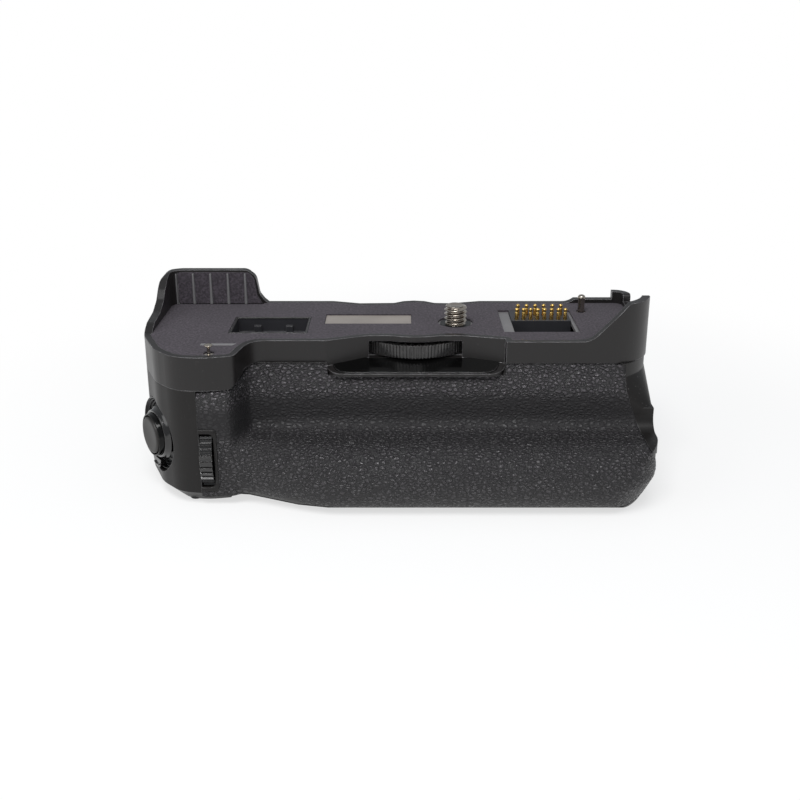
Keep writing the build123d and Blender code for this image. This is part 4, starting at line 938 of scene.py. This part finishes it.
@dataclass
class AttachmentScrew:
    """The threaded screw that holds the camera, with its hidden pinion."""

    radius: float = 3.175
    root: float = 2.38
    top: float = 5.08
    foot: float = -0.25
    pitch: float = 1.27
    lead_in: float = 0.5
    taper: float = 1.2
    ridge_share: float = 0.4
    tip_rings: tuple[Pair, ...] = ((2.1, 0.0), (1.5, 0.03), (1.35, 0.12), (0.5, 0.16))
    shaft: float = 2.9
    pinion_low: float = -4.35
    pinion_high: float = -2.05
    teeth: int = 14
    tooth_root: float = 3.54
    tooth_tip: float = 4.66
    tooth_turn: float = -16.6
    tooth_shares: Triple = (0.3, 0.23, 0.13)
    row_step: float = 0.07
    steps: int = 72

    def _pinion(self) -> list[Pair]:
        """The pinion's outline.

        Returns:
            Its corners in order.
        """
        foot, base, head = self.tooth_shares
        tooth = (
            (self.tooth_root, -foot), (self.tooth_root, -base), (self.tooth_tip, -head),
            (self.tooth_tip, head), (self.tooth_root, base), (self.tooth_root, foot),
        )
        corners: list[Pair] = []
        for number in range(self.teeth):
            for radius, lead in tooth:
                angle = math.radians(self.tooth_turn) + math.tau * (number + lead) / self.teeth
                corners.append((radius * math.cos(angle), radius * math.sin(angle)))
        return corners

    def _radius_at(self, height: float, turn: float) -> float:
        """The thread's radius.

        Args:
            height: Height up the screw.
            turn: Angle round it.

        Returns:
            The radius there.
        """
        phase = (height / self.pitch - turn / math.tau) % 1.0
        ridge = smooth(1.0 - abs(phase - 0.5) / self.ridge_share)
        fade = smooth((height - self.foot) / self.lead_in)
        limit = self.radius - max(0.0, height - self.top + self.lead_in) * self.taper
        return min(self.root + (self.radius - self.root) * ridge * fade, limit)

    def _thread_row(self, height: float) -> Row:
        """One row of the thread.

        Args:
            height: Its height.

        Returns:
            Its points.
        """
        row: Row = []
        for index in range(self.steps):
            turn = math.tau * index / self.steps
            radius = self._radius_at(height, turn)
            row.append(Vector((radius * math.cos(turn), radius * math.sin(turn), height)))
        return row

    def build(self, shop: Workshop) -> None:
        """Makes the screw.

        Args:
            shop: The workshop.
        """
        form = Form()
        form.prism(self._pinion(), self.pinion_low, self.pinion_high, upright_at(0.0, 0.0))
        rows = [level_ring(self.shaft, height, self.steps) for height in (self.pinion_high, self.foot)]
        count = round((self.top - self.foot) / self.row_step)
        for number in range(count + 1):
            rows.append(self._thread_row(self.foot + (self.top - self.foot) * number / count))
        rows += [level_ring(radius, self.top - drop, self.steps) for radius, drop in self.tip_rings]
        form.rows(rows, ring=True, caps=True)
        shop.fit(form, "threaded_screw", "attachment_screw", Slot.BRIGHT, ("attachment_screw",), sharp=55.0)


@dataclass
class DeckPins:
    """The sprung contacts and the two locating pins."""

    centre: float = 24.8
    lines: tuple[tuple[int, float, float], ...] = ((8, 2.0, 2.9), (6, 2.5, 6.8))
    contact_steps: int = 20
    pin_steps: int = 40
    plunger: tuple[Pair, ...] = (
        (0.5, -4.55), (0.5, 1.85), (0.47, 1.98), (0.37, 2.1), (0.37, 2.22), (0.48, 2.38), (0.545, 2.6),
        (0.55, 2.78), (0.5, 3.0), (0.4, 3.16), (0.24, 3.26), (0.05, 3.3),
    )
    right: Pair = (37.598, 10.2)
    right_profile: tuple[Pair, ...] = (
        (1.35, -4.6), (1.35, -0.35), (1.28, -0.25), (1.0, -0.2), (0.96, 3.6), (0.99, 3.75), (1.13, 3.95),
        (1.15, 4.2), (1.08, 4.55), (0.88, 4.86), (0.58, 5.06), (0.25, 5.14), (0.03, 5.15),
    )
    left: Pair = (-65.70, -26.20)
    left_profile: tuple[Pair, ...] = (
        (1.35, -4.6), (1.35, -0.35), (1.28, -0.25), (0.5, -0.2), (0.44, 0.0), (0.42, 1.5), (0.55, 1.72),
        (0.95, 1.98), (1.12, 2.18), (1.1, 2.34), (0.9, 2.48), (0.5, 2.57), (0.04, 2.6),
    )

    def build(self, shop: Workshop) -> None:
        """Makes both sets.

        Args:
            shop: The workshop.
        """
        contacts = Form()
        for count, pitch, y in self.lines:
            for number in range(count):
                x = self.centre + (number - (count - 1) / 2) * pitch
                contacts.lathe(self.plunger, upright_at(x, y), self.contact_steps)
        shop.fit(contacts, "sprung_contacts", "contact_pins", Slot.GOLD, ("contact_pins",))
        pins = Form()
        pins.lathe(self.right_profile, upright_at(*self.right), self.pin_steps)
        pins.lathe(self.left_profile, upright_at(*self.left), self.pin_steps)
        shop.fit(pins, "turned_locating_pins", "grip", Slot.BRIGHT, ("locating_pins",))


@dataclass
class WallPanel:
    """The ribbed felt panel inside the raised wall."""

    low_y: float = 17.85
    high_y: float = 18.4
    outline: tuple[Triple, ...] = (
        (-84.2, 0.0, 0.0), (-84.2, 9.7, 1.8), (-61.2, 9.7, 1.6), (-59.6, 7.8, 1.0), (-58.9, 2.6, 1.0),
        (-57.4, 0.0, 0.0),
    )
    outline_step: float = 0.5
    first_rib: float = -83.1
    rib_pitch: float = 5.2
    ribs: int = 5
    rib_top: float = 9.45
    rib_foot_half: float = 0.55
    rib_head_half: float = 0.36
    rib_front: float = 17.35
    rib_front_share: float = 0.6
    rib_sink: float = 0.1

    def build(self, shop: Workshop) -> None:
        """Makes the panel and its ribs.

        Args:
            shop: The workshop.
        """
        panel = Form()
        across = rounded_path(self.outline, self.outline_step)
        upturned = Matrix.Rotation(math.radians(90.0), 4, "X")
        place = Matrix.Translation((0.0, self.high_y, 0.0)) @ upturned
        panel.prism(across, 0.0, self.high_y - self.low_y, place)
        shop.fit(panel, "wall_felt", "grip", Slot.FELT, ("wall_liner",), bevel=0.12)
        ribs = Form()
        for number in range(self.ribs):
            self._rib(ribs, self.first_rib + number * self.rib_pitch)
        shop.fit(ribs, "wall_ribs", "grip", Slot.DECK_METAL, bevel=0.14)

    def _rib(self, form: Form, x: float) -> None:
        """Adds one rib, narrower at its head.

        Args:
            form: The form it goes into.
            x: Its middle.
        """
        back = self.low_y + self.rib_sink
        rows = []
        for half, z in ((self.rib_foot_half, 0.0), (self.rib_head_half, self.rib_top)):
            narrow = half * self.rib_front_share
            corners = (
                (x - half, back), (x - narrow, self.rib_front),
                (x + narrow, self.rib_front), (x + half, back),
            )
            rows.append([Vector((*corner, z)) for corner in corners])
        form.rows(rows, ring=True, caps=True)


@dataclass
class ShutterGroup:
    """The shutter button in its sleeve, the lock ring and the glossy dish."""

    origin: Triple = (-82.6996, -18.8992, -26.0993)
    heading: float = 216.0
    steps: int = 96
    path_step: float = 0.3
    dish: tuple[Pair, ...] = (
        (2.35, -4.4), (10.4, -4.4), (10.45, -1.3), (10.38, -0.85), (10.15, -0.62), (9.9, -0.66),
        (9.75, -0.9), (9.66, -1.25), (9.5, -1.4), (9.34, -1.36), (9.24, -1.6), (9.14, -1.95),
        (8.98, -2.08), (8.84, -2.02), (8.76, -2.3), (8.6, -2.62), (8.3, -2.85), (7.9, -2.95),
        (5.9, -2.95), (5.9, 1.7), (5.82, 1.86), (5.68, 1.9), (5.55, 1.83), (5.5, 1.7), (5.5, -3.4),
        (2.35, -3.4),
    )
    ring: tuple[Pair, ...] = (
        (5.95, -1.0), (7.4, -1.0), (7.58, -0.92), (7.6, -0.8), (7.45, -0.62), (7.1, -0.3), (6.85, 0.1),
        (6.7, 0.45), (6.5, 0.58), (6.25, 0.6), (6.05, 0.5), (5.95, 0.3),
    )
    tab: tuple[Triple, ...] = (
        (7.0, -2.6, 0.0), (9.3, -1.9, 0.9), (10.0, 0.0, 1.8), (9.3, 1.9, 0.9), (7.0, 2.6, 0.0),
    )
    tab_low: float = -1.0
    tab_high: float = 0.7
    ridge: tuple[Triple, ...] = ((8.9, -1.5, 0.0), (9.5, 0.0, 1.6), (8.9, 1.5, 0.0))
    ridge_width: float = 0.5
    ridge_sink: float = 0.1
    ridge_rise: float = 0.35
    cap: tuple[Pair, ...] = (
        (2.0, -5.4), (2.0, -0.5), (5.0, -0.5), (5.13, -0.35), (5.15, 1.75), (5.08, 2.0), (4.9, 2.2),
        (4.6, 2.29), (4.2, 2.3), (3.2, 2.24), (2.0, 2.16), (0.9, 2.12), (0.05, 2.11),
    )

    def frame(self) -> Matrix:
        """The button's own frame, with its axis pointing out of the lobe.

        Returns:
            The frame.
        """
        turn = math.radians(self.heading)
        out = Vector((math.cos(turn), math.sin(turn), 0.0))
        down = Vector((0.0, 0.0, -1.0))
        side = out.cross(down)
        turned = Matrix((down, side, out)).transposed().to_4x4()
        return Matrix.Translation(self.origin) @ turned

    def build(self, shop: Workshop) -> None:
        """Makes the three pieces.

        Args:
            shop: The workshop.
        """
        place = self.frame()
        dish = Form()
        dish.lathe(self.dish, place, self.steps, hollow=True)
        shop.fit(dish, "shutter_dish", "grip", Slot.GLOSS, ("shutter_collar",), sharp=50.0)
        ring = Form()
        ring.lathe(self.ring, place, self.steps, hollow=True)
        ring.prism(rounded_path(self.tab, self.path_step), self.tab_low, self.tab_high, place)
        ridge = rounded_path(self.ridge, self.path_step)
        ridge += [(x - self.ridge_width, y) for x, y in reversed(ridge)]
        ring.prism(ridge, self.tab_high - self.ridge_sink, self.tab_high + self.ridge_rise, place)
        shop.fit(ring, "lock_ring", "shutter_lock", Slot.DIAL, ("shutter_lock_ring",), bevel=0.12)
        cap = Form()
        cap.lathe(self.cap, place, self.steps)
        shop.fit(cap, "shutter_cap", "shutter_button", Slot.BUTTON, ("shutter_button",), sharp=50.0)


@dataclass
class GripCovering:
    """The pebbled covering on the front, one smooth surface with a shallow pebbled relief."""

    left: float = -69.1
    end: float = 53.3
    bulge_start: float = -64.0
    bulge_full: float = -35.0
    lobe_reach: float = 29.8
    lobe_end: float = -60.8
    lobe_fade: float = 6.2
    lobe_rest: float = 16.0
    throat_reach: float = 20.2
    bulge_reach: float = 38.0
    brow_reach: float = 17.6
    brow_depth: float = 8.2
    throat_depth: float = 13.2
    shelf_depth: float = 24.0
    top: float = -6.25
    top_overrun: float = 0.5
    bottom: float = -41.0
    floor: float = -42.5
    crest_radius: float = 8.8
    throat_radius: float = 4.0
    toe_radius: float = 9.5
    upper_radius: float = 4.5
    end_radius: float = 13.0
    sole_radius: float = 26.0
    flush_radius: float = 16.95
    flush_foot: float = 3.39
    flare_top: float = 10.0
    flare_bottom: float = 18.0
    growth_lead: float = 1.1
    eye_reach: float = 8.0
    eye_z: float = -32.0
    least_cosine: float = 0.2
    least_sine: float = 0.05
    step: float = 0.32
    sink: float = -0.16
    relief: float = 0.14
    pebble: Pair = (1.45, 0.9)
    pebble_sway: Pair = (0.4, -0.24)
    sway_scale: Pair = (0.31, 0.4)
    sway_level: float = 3.7
    crease: float = 0.7
    least_crown: float = 0.8
    crown_change: float = 0.2
    crown_key: float = 7.3
    soften: int = 4
    border: int = 3
    ledge: Pair = (-60.5, -55.5)
    lobe_top: float = -9.35
    windows: tuple[tuple[float, float, float, float], ...] = (
        (-69.3, -64.65, -37.9, -20.3), (-35.6, 12.6, -8.95, 0.0),
    )
    rim: float = 0.9
    merge: float = 2.4
    right_edge: tuple[Pair, ...] = (
        (-6.2, 45.65), (-13.2, 45.65), (-24.0, 50.4), (-32.8, 60.7), (-42.5, 60.7),
    )

    def _section(self, bulge: float) -> list[Pair]:
        """The section square to X, from the frame down to the sole.

        Args:
            bulge: The bulge's reach there.

        Returns:
            Its points as reach and height.
        """
        width = bulge - self.throat_reach
        growth = min(1.0, width / (self.bulge_reach - self.throat_reach) * self.growth_lead)
        corners = (
            (self.brow_reach, self.top + self.top_overrun, 0.0),
            (self.brow_reach, -self.brow_depth, self.upper_radius / 2),
            (self.throat_reach, -self.throat_depth, self.upper_radius),
            (self.throat_reach, -self.shelf_depth, self.throat_radius * growth),
            (bulge, -self.shelf_depth, self.crest_radius * growth),
            (bulge, self.floor, self.toe_radius),
            (self.throat_reach, self.floor, 0.0),
        )
        return rounded_path(corners, self.step)

    def _polar(self, section: Sequence[Pair]) -> tuple[numpy.ndarray, numpy.ndarray]:
        """A section as seen from inside the grip.

        Args:
            section: Its points.

        Returns:
            Their angles, rising, and their distances.
        """
        points = numpy.array(section)
        out = points[:, 0] - self.eye_reach
        up = points[:, 1] - self.eye_z
        angles = numpy.arctan2(up, out)[::-1]
        return angles, numpy.hypot(out, up)[::-1]

    def _end_limit(self, x: numpy.ndarray, z: numpy.ndarray) -> numpy.ndarray:
        """How far forward the rounded end lets the surface stand.

        Args:
            x: Places along the grip.
            z: Heights.

        Returns:
            The greatest reach there.
        """
        low = numpy.clip((self.floor + self.toe_radius - z) / self.toe_radius, 0.0, 1.0)
        lower = self.end_radius + (self.sole_radius - self.end_radius) * low
        high = numpy.clip((z + self.flare_bottom) / (self.flare_bottom - self.flare_top), 0.0, 1.0)
        upper = self.flush_foot + (self.flush_radius - self.flush_foot) * high
        is_lower = z < -self.flare_bottom
        radius = numpy.where(is_lower, lower, upper)
        reach = numpy.where(is_lower, self.bulge_reach, self.throat_reach)
        past = numpy.clip(x - (self.end - radius), 0.0, radius)
        limit = reach - (radius - numpy.sqrt(numpy.maximum(radius**2 - past**2, 0.0)))
        return numpy.where(past > 0.0, limit, self.bulge_reach)

    def _row(self, run: numpy.ndarray, angles: numpy.ndarray) -> numpy.ndarray:
        """One row of the surface, from the frame down to the sole.

        Args:
            run: How far along the grip each of its points lies.
            angles: Where each point is seen from inside the grip.

        Returns:
            The row's points.
        """
        arc = numpy.clip((run - self.end + self.end_radius) / self.end_radius, 0.0, math.pi / 2)
        straight = numpy.minimum(run, self.end - self.end_radius)
        x = straight + self.end_radius * numpy.sin(arc)
        middle = float(numpy.median(x))
        grown = smooth((middle - self.bulge_start) / (self.bulge_full - self.bulge_start))
        bulge = self.lobe_reach + grown * (self.bulge_reach - self.lobe_reach)
        grip = numpy.interp(angles, *self._polar(self._section(bulge)))
        fall = smooth((middle - self.lobe_end) / self.lobe_fade)
        lobe = self.lobe_reach + fall * (self.lobe_rest - self.lobe_reach)
        column = (lobe - self.eye_reach) / numpy.maximum(numpy.cos(angles), self.least_cosine)
        fillet = self.merge**2 * fall * (1.0 - fall) * 4.0
        radius = (grip + column + numpy.sqrt((grip - column) ** 2 + fillet)) / 2.0
        lift = smooth((middle - self.ledge[0]) / (self.ledge[1] - self.ledge[0]))
        ceiling = self.lobe_top + lift * (self.top - self.lobe_top) - self.eye_z
        radius = numpy.minimum(radius, ceiling / numpy.maximum(numpy.sin(angles), self.least_sine))
        z = self.eye_z + radius * numpy.sin(angles)
        reach = numpy.minimum(self.eye_reach + radius * numpy.cos(angles), self._end_limit(x, z))
        return numpy.stack([x, -reach, z], axis=1)

    def _surface(self) -> tuple[numpy.ndarray, numpy.ndarray]:
        """The smooth surface.

        Returns:
            The points by row and column, and the two lengths along it for the pebbles.
        """
        full = [point for point in self._section(self.bulge_reach) if self.bottom <= point[1] <= self.top]
        angles = self._polar(full)[0][::-1]
        depths = numpy.array([-height for _, height in full])
        edge_depths = [-height for height, _ in self.right_edge]
        edge_runs = [run for _, run in self.right_edge]
        edge = numpy.interp(depths, edge_depths, edge_runs)
        count = round((max(edge_runs) - self.left) / self.step)
        points = numpy.zeros((count + 1, len(full), 3))
        lengths = numpy.zeros((count + 1, len(full), 2))
        for number, share in enumerate(numpy.linspace(0.0, 1.0, count + 1)):
            run = self.left + share * (edge - self.left)
            points[number] = self._row(run, angles)
            lengths[number, :, 0] = run
            lengths[number, :, 1] = numpy.arange(len(full)) * self.step
        return self._softened(points), lengths

    def _softened(self, points: numpy.ndarray) -> numpy.ndarray:
        """Rounds the hollows and the crests.

        Args:
            points: The surface's points.

        Returns:
            The softened points.
        """
        window = 2 * self.soften + 1
        soft = points.copy()
        for axis in (0, 1):
            padding = [(0, 0)] * 3
            padding[axis] = (self.soften, self.soften)
            padded = numpy.pad(soft, padding, mode="reflect", reflect_type="odd")
            size = soft.shape[axis]
            slices = (numpy.take(padded, range(shift, shift + size), axis=axis) for shift in range(window))
            soft = sum(slices) / window
        return soft

    def _in_window(self, point: Vector) -> bool:
        """Whether a point lies where the dial's surround or the apron stands.

        Args:
            point: The point.

        Returns:
            True inside a window.
        """
        return any(
            left < point.x < right and low < point.z < high for left, right, low, high in self.windows
        )

    def _pebbles(self, lengths: numpy.ndarray) -> numpy.ndarray:
        """How deep the creases run.

        Args:
            lengths: The two lengths along the surface.

        Returns:
            A depth from 0 on the crowns to 1 in the creases.
        """
        depth = numpy.zeros(lengths.shape[:2])
        for row, column in numpy.ndindex(depth.shape):
            along, down = lengths[row, column]
            spot = Vector((along * self.sway_scale[0], down * self.sway_scale[1], self.sway_level))
            sway = noise.noise(spot)
            across = along / self.pebble[0] + sway * self.pebble_sway[0]
            lower = down / self.pebble[1] + sway * self.pebble_sway[1]
            near, cells = noise.voronoi(Vector((across, lower, 0.0)))
            crown = math.sqrt(smooth((near[1] - near[0]) / self.crease))
            rise = self.least_crown + self.crown_change * noise.cell(cells[0] * self.crown_key)
            depth[row, column] = 1.0 - crown * rise
        return depth

    def _border_fade(self, shape: tuple[int, int]) -> numpy.ndarray:
        """Lets the relief die out at the covering's edges.

        Args:
            shape: The surface's rows and columns.

        Returns:
            A share from 0 at the edges to 1 inside.
        """
        fade = numpy.ones(shape)
        for line in range(self.border):
            share = line / self.border
            fade[[line, -1 - line], :] = share
            fade[:, [line, -1 - line]] = numpy.minimum(fade[:, [line, -1 - line]], share)
        return fade

    def build(self, shop: Workshop) -> None:
        """Makes the covering.

        Args:
            shop: The workshop.
        """
        points, lengths = self._surface()
        normal = numpy.cross(numpy.gradient(points, axis=0), numpy.gradient(points, axis=1))
        normal /= numpy.maximum(numpy.linalg.norm(normal, axis=2, keepdims=True), 1e-9)
        normal *= numpy.where(normal[:, :, 1:2] > 0.0, -1.0, 1.0)
        depth = self.sink + self.relief * self._pebbles(lengths)
        depth += (1.0 - self._border_fade(depth.shape)) * self.relief
        carved = points - normal * depth[:, :, None]
        back = points - normal * self.rim
        grid = numpy.concatenate([back[:1], carved, back[-1:]], axis=0)
        head = numpy.concatenate([back[:1, :1], back[:, :1], back[-1:, :1]], axis=0)
        foot = numpy.concatenate([back[:1, -1:], back[:, -1:], back[-1:, -1:]], axis=0)
        grid = numpy.concatenate([head, grid, foot], axis=1)
        form = Form()
        form.rows([[Vector(point) for point in row] for row in grid])
        form.faces = [face for face in form.faces if not self._in_window(form.points[face[0]])]
        shop.fit(form, "grip_covering", "grip", Slot.LEATHER, ("front_grip_skin",), sharp=70.0)


@dataclass
class WheelApron:
    """The glossy sloping lip below the wheel, with its bead. Back and front are Y and Z."""

    middle: float = -11.5
    half: float = 23.6
    back: Pair = (-12.3, -6.3)
    front: Pair = (-19.65, -8.12)
    shoulder: Triple = (1.2, -16.6, 1.5)
    front_inset: float = 2.2
    corner: float = 4.2
    edge_step: float = 0.5
    thickness: float = 0.3
    proud_share: float = 0.2
    bead_lean: float = 0.3
    bead: tuple[Pair, ...] = ((0.36, 0.18), (0.0, -0.27), (0.3, -0.6), (0.7, -0.3))

    def _slope(self, y: float) -> float:
        """The lip's height.

        Args:
            y: Where across it.

        Returns:
            Its height there.
        """
        share = (y - self.back[0]) / (self.front[0] - self.back[0])
        return self.back[1] + share * (self.front[1] - self.back[1])

    def _edge(self) -> list[Pair]:
        """The lip's edge, from its left end round the front to its right end.

        Returns:
            Its points as X and Y.
        """
        left = self.middle - self.half
        right = self.middle + self.half
        run, y, radius = self.shoulder
        corners = (
            (left, self.back[0], 0.0),
            (left + run, y, radius),
            (left + self.front_inset, self.front[0], self.corner),
            (right - self.front_inset, self.front[0], self.corner),
            (right - run, y, radius),
            (right, self.back[0], 0.0),
        )
        return rounded_path(corners, self.edge_step)

    def build(self, shop: Workshop) -> None:
        """Makes the lip and its bead.

        Args:
            shop: The workshop.
        """
        edge = self._edge()
        lip = Form()
        rows = []
        for lift in (-self.thickness, self.thickness * self.proud_share):
            rows.append([Vector((x, y, self._slope(y) + lift)) for x, y in edge])
        lip.rows(rows, ring=True, caps=True)
        shop.fit(lip, "apron_lip", "grip", Slot.GLOSS, bevel=0.15)
        bead = Form()
        rows = []
        for x, y in edge:
            z = self._slope(y)
            inward = Vector((self.bead_lean * (self.middle - x) / self.half, 1.0, 0.0)).normalized()
            rows.append([Vector((x, y, z + lift)) + inward * run for run, lift in self.bead])
        bead.rows(rows, ring=True, caps=True)
        shop.fit(bead, "apron_bead", "grip", Slot.DIAL)


@dataclass
class DialSurround:
    """The raised frame round the front dial's opening."""

    left: float = -69.15
    right: float = -64.35
    middle_z: float = -29.1
    half: float = 9.0
    opening_left: float = -68.95
    opening_right: float = -65.25
    opening_half: float = 7.75
    front: float = -30.2
    back: float = -29.0
    corner: float = 1.3
    outer_ease: float = 0.18
    inner_ease: float = 0.15
    ease_depth: float = 0.2
    arc_steps: int = 6

    def build(self, shop: Workshop) -> None:
        """Makes the frame.

        Args:
            shop: The workshop.
        """
        outer = self._loop(self.left, self.right, self.half)
        inner = self._loop(self.opening_left, self.opening_right, self.opening_half)
        eased_outer = self._loop(self.left, self.right - self.outer_ease, self.half - self.outer_ease)
        eased_inner = self._loop(
            self.opening_left, self.opening_right + self.inner_ease, self.opening_half + self.inner_ease
        )
        shoulder = self.front + self.ease_depth
        section = (
            (outer, self.back), (outer, shoulder), (eased_outer, self.front), (eased_inner, self.front),
            (inner, shoulder), (inner, self.back), (outer, self.back),
        )
        form = Form()
        form.rows([[Vector((x, y, z)) for x, z in loop] for loop, y in section], ring=True)
        shop.fit(form, "dial_surround", "grip", Slot.CASING, ("dial_bezel",))

    def _loop(self, left: float, right: float, half: float) -> list[Pair]:
        """A rectangle with rounded right corners, always with the same number of points.

        Args:
            left: Its left side.
            right: Its right side.
            half: Half its height.

        Returns:
            Its points as X and Z.
        """
        low = self.middle_z - half
        high = self.middle_z + half
        points: list[Pair] = [(left, high), (left, low)]
        for first_turn, centre_z in ((-90.0, low + self.corner), (0.0, high - self.corner)):
            for number in range(self.arc_steps + 1):
                turn = math.radians(first_turn + 90.0 * number / self.arc_steps)
                x = right - self.corner + self.corner * math.cos(turn)
                points.append((x, centre_z + self.corner * math.sin(turn)))
        return points


@dataclass
class SlotStrip:
    """The bright strip in the lobe's slot, with its slanted right end."""

    left: float = -69.2
    right: float = -59.6
    front: float = -19.95
    back: float = -18.45
    slant: float = 0.9
    low: float = -0.6
    high: float = 0.04

    def build(self, shop: Workshop) -> None:
        """Makes the strip.

        Args:
            shop: The workshop.
        """
        outline = (
            (self.left, self.front),
            (self.right - self.slant, self.front),
            (self.right, self.back),
            (self.left, self.back),
        )
        form = Form()
        form.prism(outline, self.low, self.high, Matrix.Identity(4))
        shop.fit(form, "bright_slot_strip", "grip", Slot.DECK_METAL, ("slot_strip",), bevel=0.08)


@dataclass
class PocketRim:
    """The bevelled rim round the contact cap's pocket."""

    centre: Pair = (-52.4, -2.6)
    size: Pair = (20.4, 13.2)
    wall: float = 0.55
    chamfer: float = 0.2
    low: float = -0.5
    high: float = 0.06

    def build(self, shop: Workshop) -> None:
        """Makes the rim.

        Args:
            shop: The workshop.
        """
        section = (
            (0.0, self.low), (0.0, self.high - self.chamfer), (self.chamfer, self.high),
            (self.wall, self.high), (self.wall, self.low), (0.0, self.low),
        )
        rows = []
        for grow, z in section:
            x = self.size[0] / 2 + grow
            y = self.size[1] / 2 + grow
            corners = ((-x, -y), (x, -y), (x, y), (-x, y))
            rows.append([Vector((self.centre[0] + a, self.centre[1] + b, z)) for a, b in corners])
        form = Form()
        form.rows(rows, ring=True)
        shop.fit(form, "pocket_rim", "grip", Slot.FRAME, bevel=0.05)


def seen_directly(graph: Graph) -> Socket:
    """A factor for what the eye, a mirror or clear glass sees.

    Args:
        graph: The material's graph.

    Returns:
        The factor's socket.
    """
    path = graph.add("LightPath").outputs
    mirrored = graph.maths("MAXIMUM", path["Is Glossy Ray"], path["Is Transmission Ray"])
    return graph.maths("MAXIMUM", path["Is Camera Ray"], mirrored)


def put_out(graph: Graph, factor: Socket, plain: bpy.types.Node, seen: bpy.types.Node, kind: str) -> None:
    """Mixes two shaders and makes the mix the tree's result.

    Args:
        graph: The material's or the world's graph.
        factor: How much of the second shader shows.
        plain: The first shader.
        seen: The second shader.
        kind: The output node's type.
    """
    mix = graph.add("MixShader")
    graph.join(factor, mix.inputs[0])
    graph.join(plain.outputs[0], mix.inputs[1])
    graph.join(seen.outputs[0], mix.inputs[2])
    graph.join(mix.outputs[0], graph.add(kind).inputs["Surface"])


@dataclass(frozen=True)
class SoftBox:
    """A lamp that hangs over the object."""

    name: str
    place: Triple
    width: float
    watts: float
    depth_share: float = 0.7
    aim: Triple = (-10.0, -5.0, -20.0)

    def hang(self) -> None:
        """Hangs the lamp and aims it."""
        data = bpy.data.lights.new(self.name, "AREA")
        data.shape = "RECTANGLE"
        data.size = self.width * MM
        data.size_y = self.width * MM * self.depth_share
        data.energy = self.watts
        lamp = bpy.data.objects.new(self.name, data)
        bpy.context.scene.collection.objects.link(lamp)
        lamp.location = Vector(self.place) * MM
        aim = Vector(self.aim) * MM
        lamp.rotation_euler = (aim - lamp.location).to_track_quat("-Z", "Y").to_euler()


@dataclass
class Studio:
    """The camera, the floor, the room and the lamps."""

    eye: Triple = (-15.8, -271.47, 89.1)
    pitch: float = 18.056
    lens: float = 45.0
    sensor: float = 36.0
    shift_y: float = -0.1
    floor_z: float = -42.5
    floor_size: float = 3000.0
    shade_reach: float = 85.0
    white_reach: float = 210.0
    least_white: float = 0.66
    paper: Triple = (0.96, 0.96, 0.96)
    white: Triple = (1.0, 1.0, 1.0)
    room_light: Triple = (0.92, 0.96, 1.0)
    room_strength: float = 0.42
    lamps: tuple[SoftBox, ...] = (
        SoftBox("key_box", (-80.0, -330.0, 540.0), 360.0, 3.0),
        SoftBox("fill_box", (-420.0, -260.0, 260.0), 300.0, 0.35),
    )

    def camera(self) -> None:
        """Puts the camera where the photograph's was."""
        data = bpy.data.cameras.new("studio_camera")
        data.lens = self.lens
        data.sensor_width = self.sensor
        data.shift_y = self.shift_y
        camera = bpy.data.objects.new("studio_camera", data)
        bpy.context.scene.collection.objects.link(camera)
        camera.location = Vector(self.eye) * MM
        camera.rotation_euler = (math.radians(90.0 - self.pitch), 0.0, 0.0)
        bpy.context.scene.camera = camera

    def _paper(self) -> bpy.types.Material:
        """Pale paper that turns plain white away from the object.

        Returns:
            The material.
        """
        material = bpy.data.materials.new("studio_floor")
        material.use_nodes = True
        graph = Graph(material.node_tree)
        graph.tree.nodes.clear()
        paper = graph.add("BsdfDiffuse")
        paper.inputs["Color"].default_value = opaque(self.paper)
        glow = graph.add("Emission")
        glow.inputs["Color"].default_value = opaque(self.white)
        away = graph.add("VectorMath", operation="LENGTH")
        graph.join(graph.place(), away.inputs[0])
        reach = (self.shade_reach * MM, self.white_reach * MM)
        white = graph.span(away.outputs["Value"], *reach, to_low=self.least_white)
        seen = graph.maths("MULTIPLY", seen_directly(graph), white)
        put_out(graph, seen, paper, glow, "OutputMaterial")
        return material

    def floor(self) -> None:
        """Lays the white floor, which keeps a soft shadow."""
        half = self.floor_size / 2
        corners = ((-half, -half), (half, -half), (half, half), (-half, half))
        mesh = bpy.data.meshes.new("studio_floor")
        mesh.from_pydata([Vector((x, y, self.floor_z)) * MM for x, y in corners], [], [(0, 1, 2, 3)])
        mesh.materials.append(self._paper())
        floor = bpy.data.objects.new("studio_floor", mesh)
        bpy.context.scene.collection.objects.link(floor)

    def sky(self) -> None:
        """Fills the room with even light, white where it is seen."""
        world = bpy.data.worlds.new("studio_room")
        bpy.context.scene.world = world
        world.use_nodes = True
        graph = Graph(world.node_tree)
        graph.tree.nodes.clear()
        room = graph.add("Background")
        room.inputs["Color"].default_value = opaque(self.room_light)
        room.inputs["Strength"].default_value = self.room_strength
        white = graph.add("Background")
        white.inputs["Color"].default_value = opaque(self.white)
        put_out(graph, graph.add("LightPath").outputs["Is Camera Ray"], room, white, "OutputWorld")

    def build(self) -> None:
        """Sets the whole studio up."""
        self.camera()
        self.floor()
        self.sky()
        for lamp in self.lamps:
            lamp.hang()
        bpy.context.scene.view_settings.view_transform = "Standard"


def main() -> None:
    """Loads the frame, dresses it and sets up the studio."""
    logging.basicConfig(level=logging.INFO)
    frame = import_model()
    Studio().build()
    wardrobe = Wardrobe()
    for slot, names in NODE_SLOTS.items():
        for name in names:
            wardrobe.dress(frame["nodes"][name], slot)
            LOG.info("%s wears %s", name, slot.value)
    shop = Workshop(wardrobe)
    for assembly in (AttachmentScrew(), DeckPins(), WallPanel(), ShutterGroup(), WheelApron(), PocketRim(),
                     SlotStrip(), DialSurround(), GripCovering()):
        assembly.build(shop)


if __name__ == "__main__":
    main()
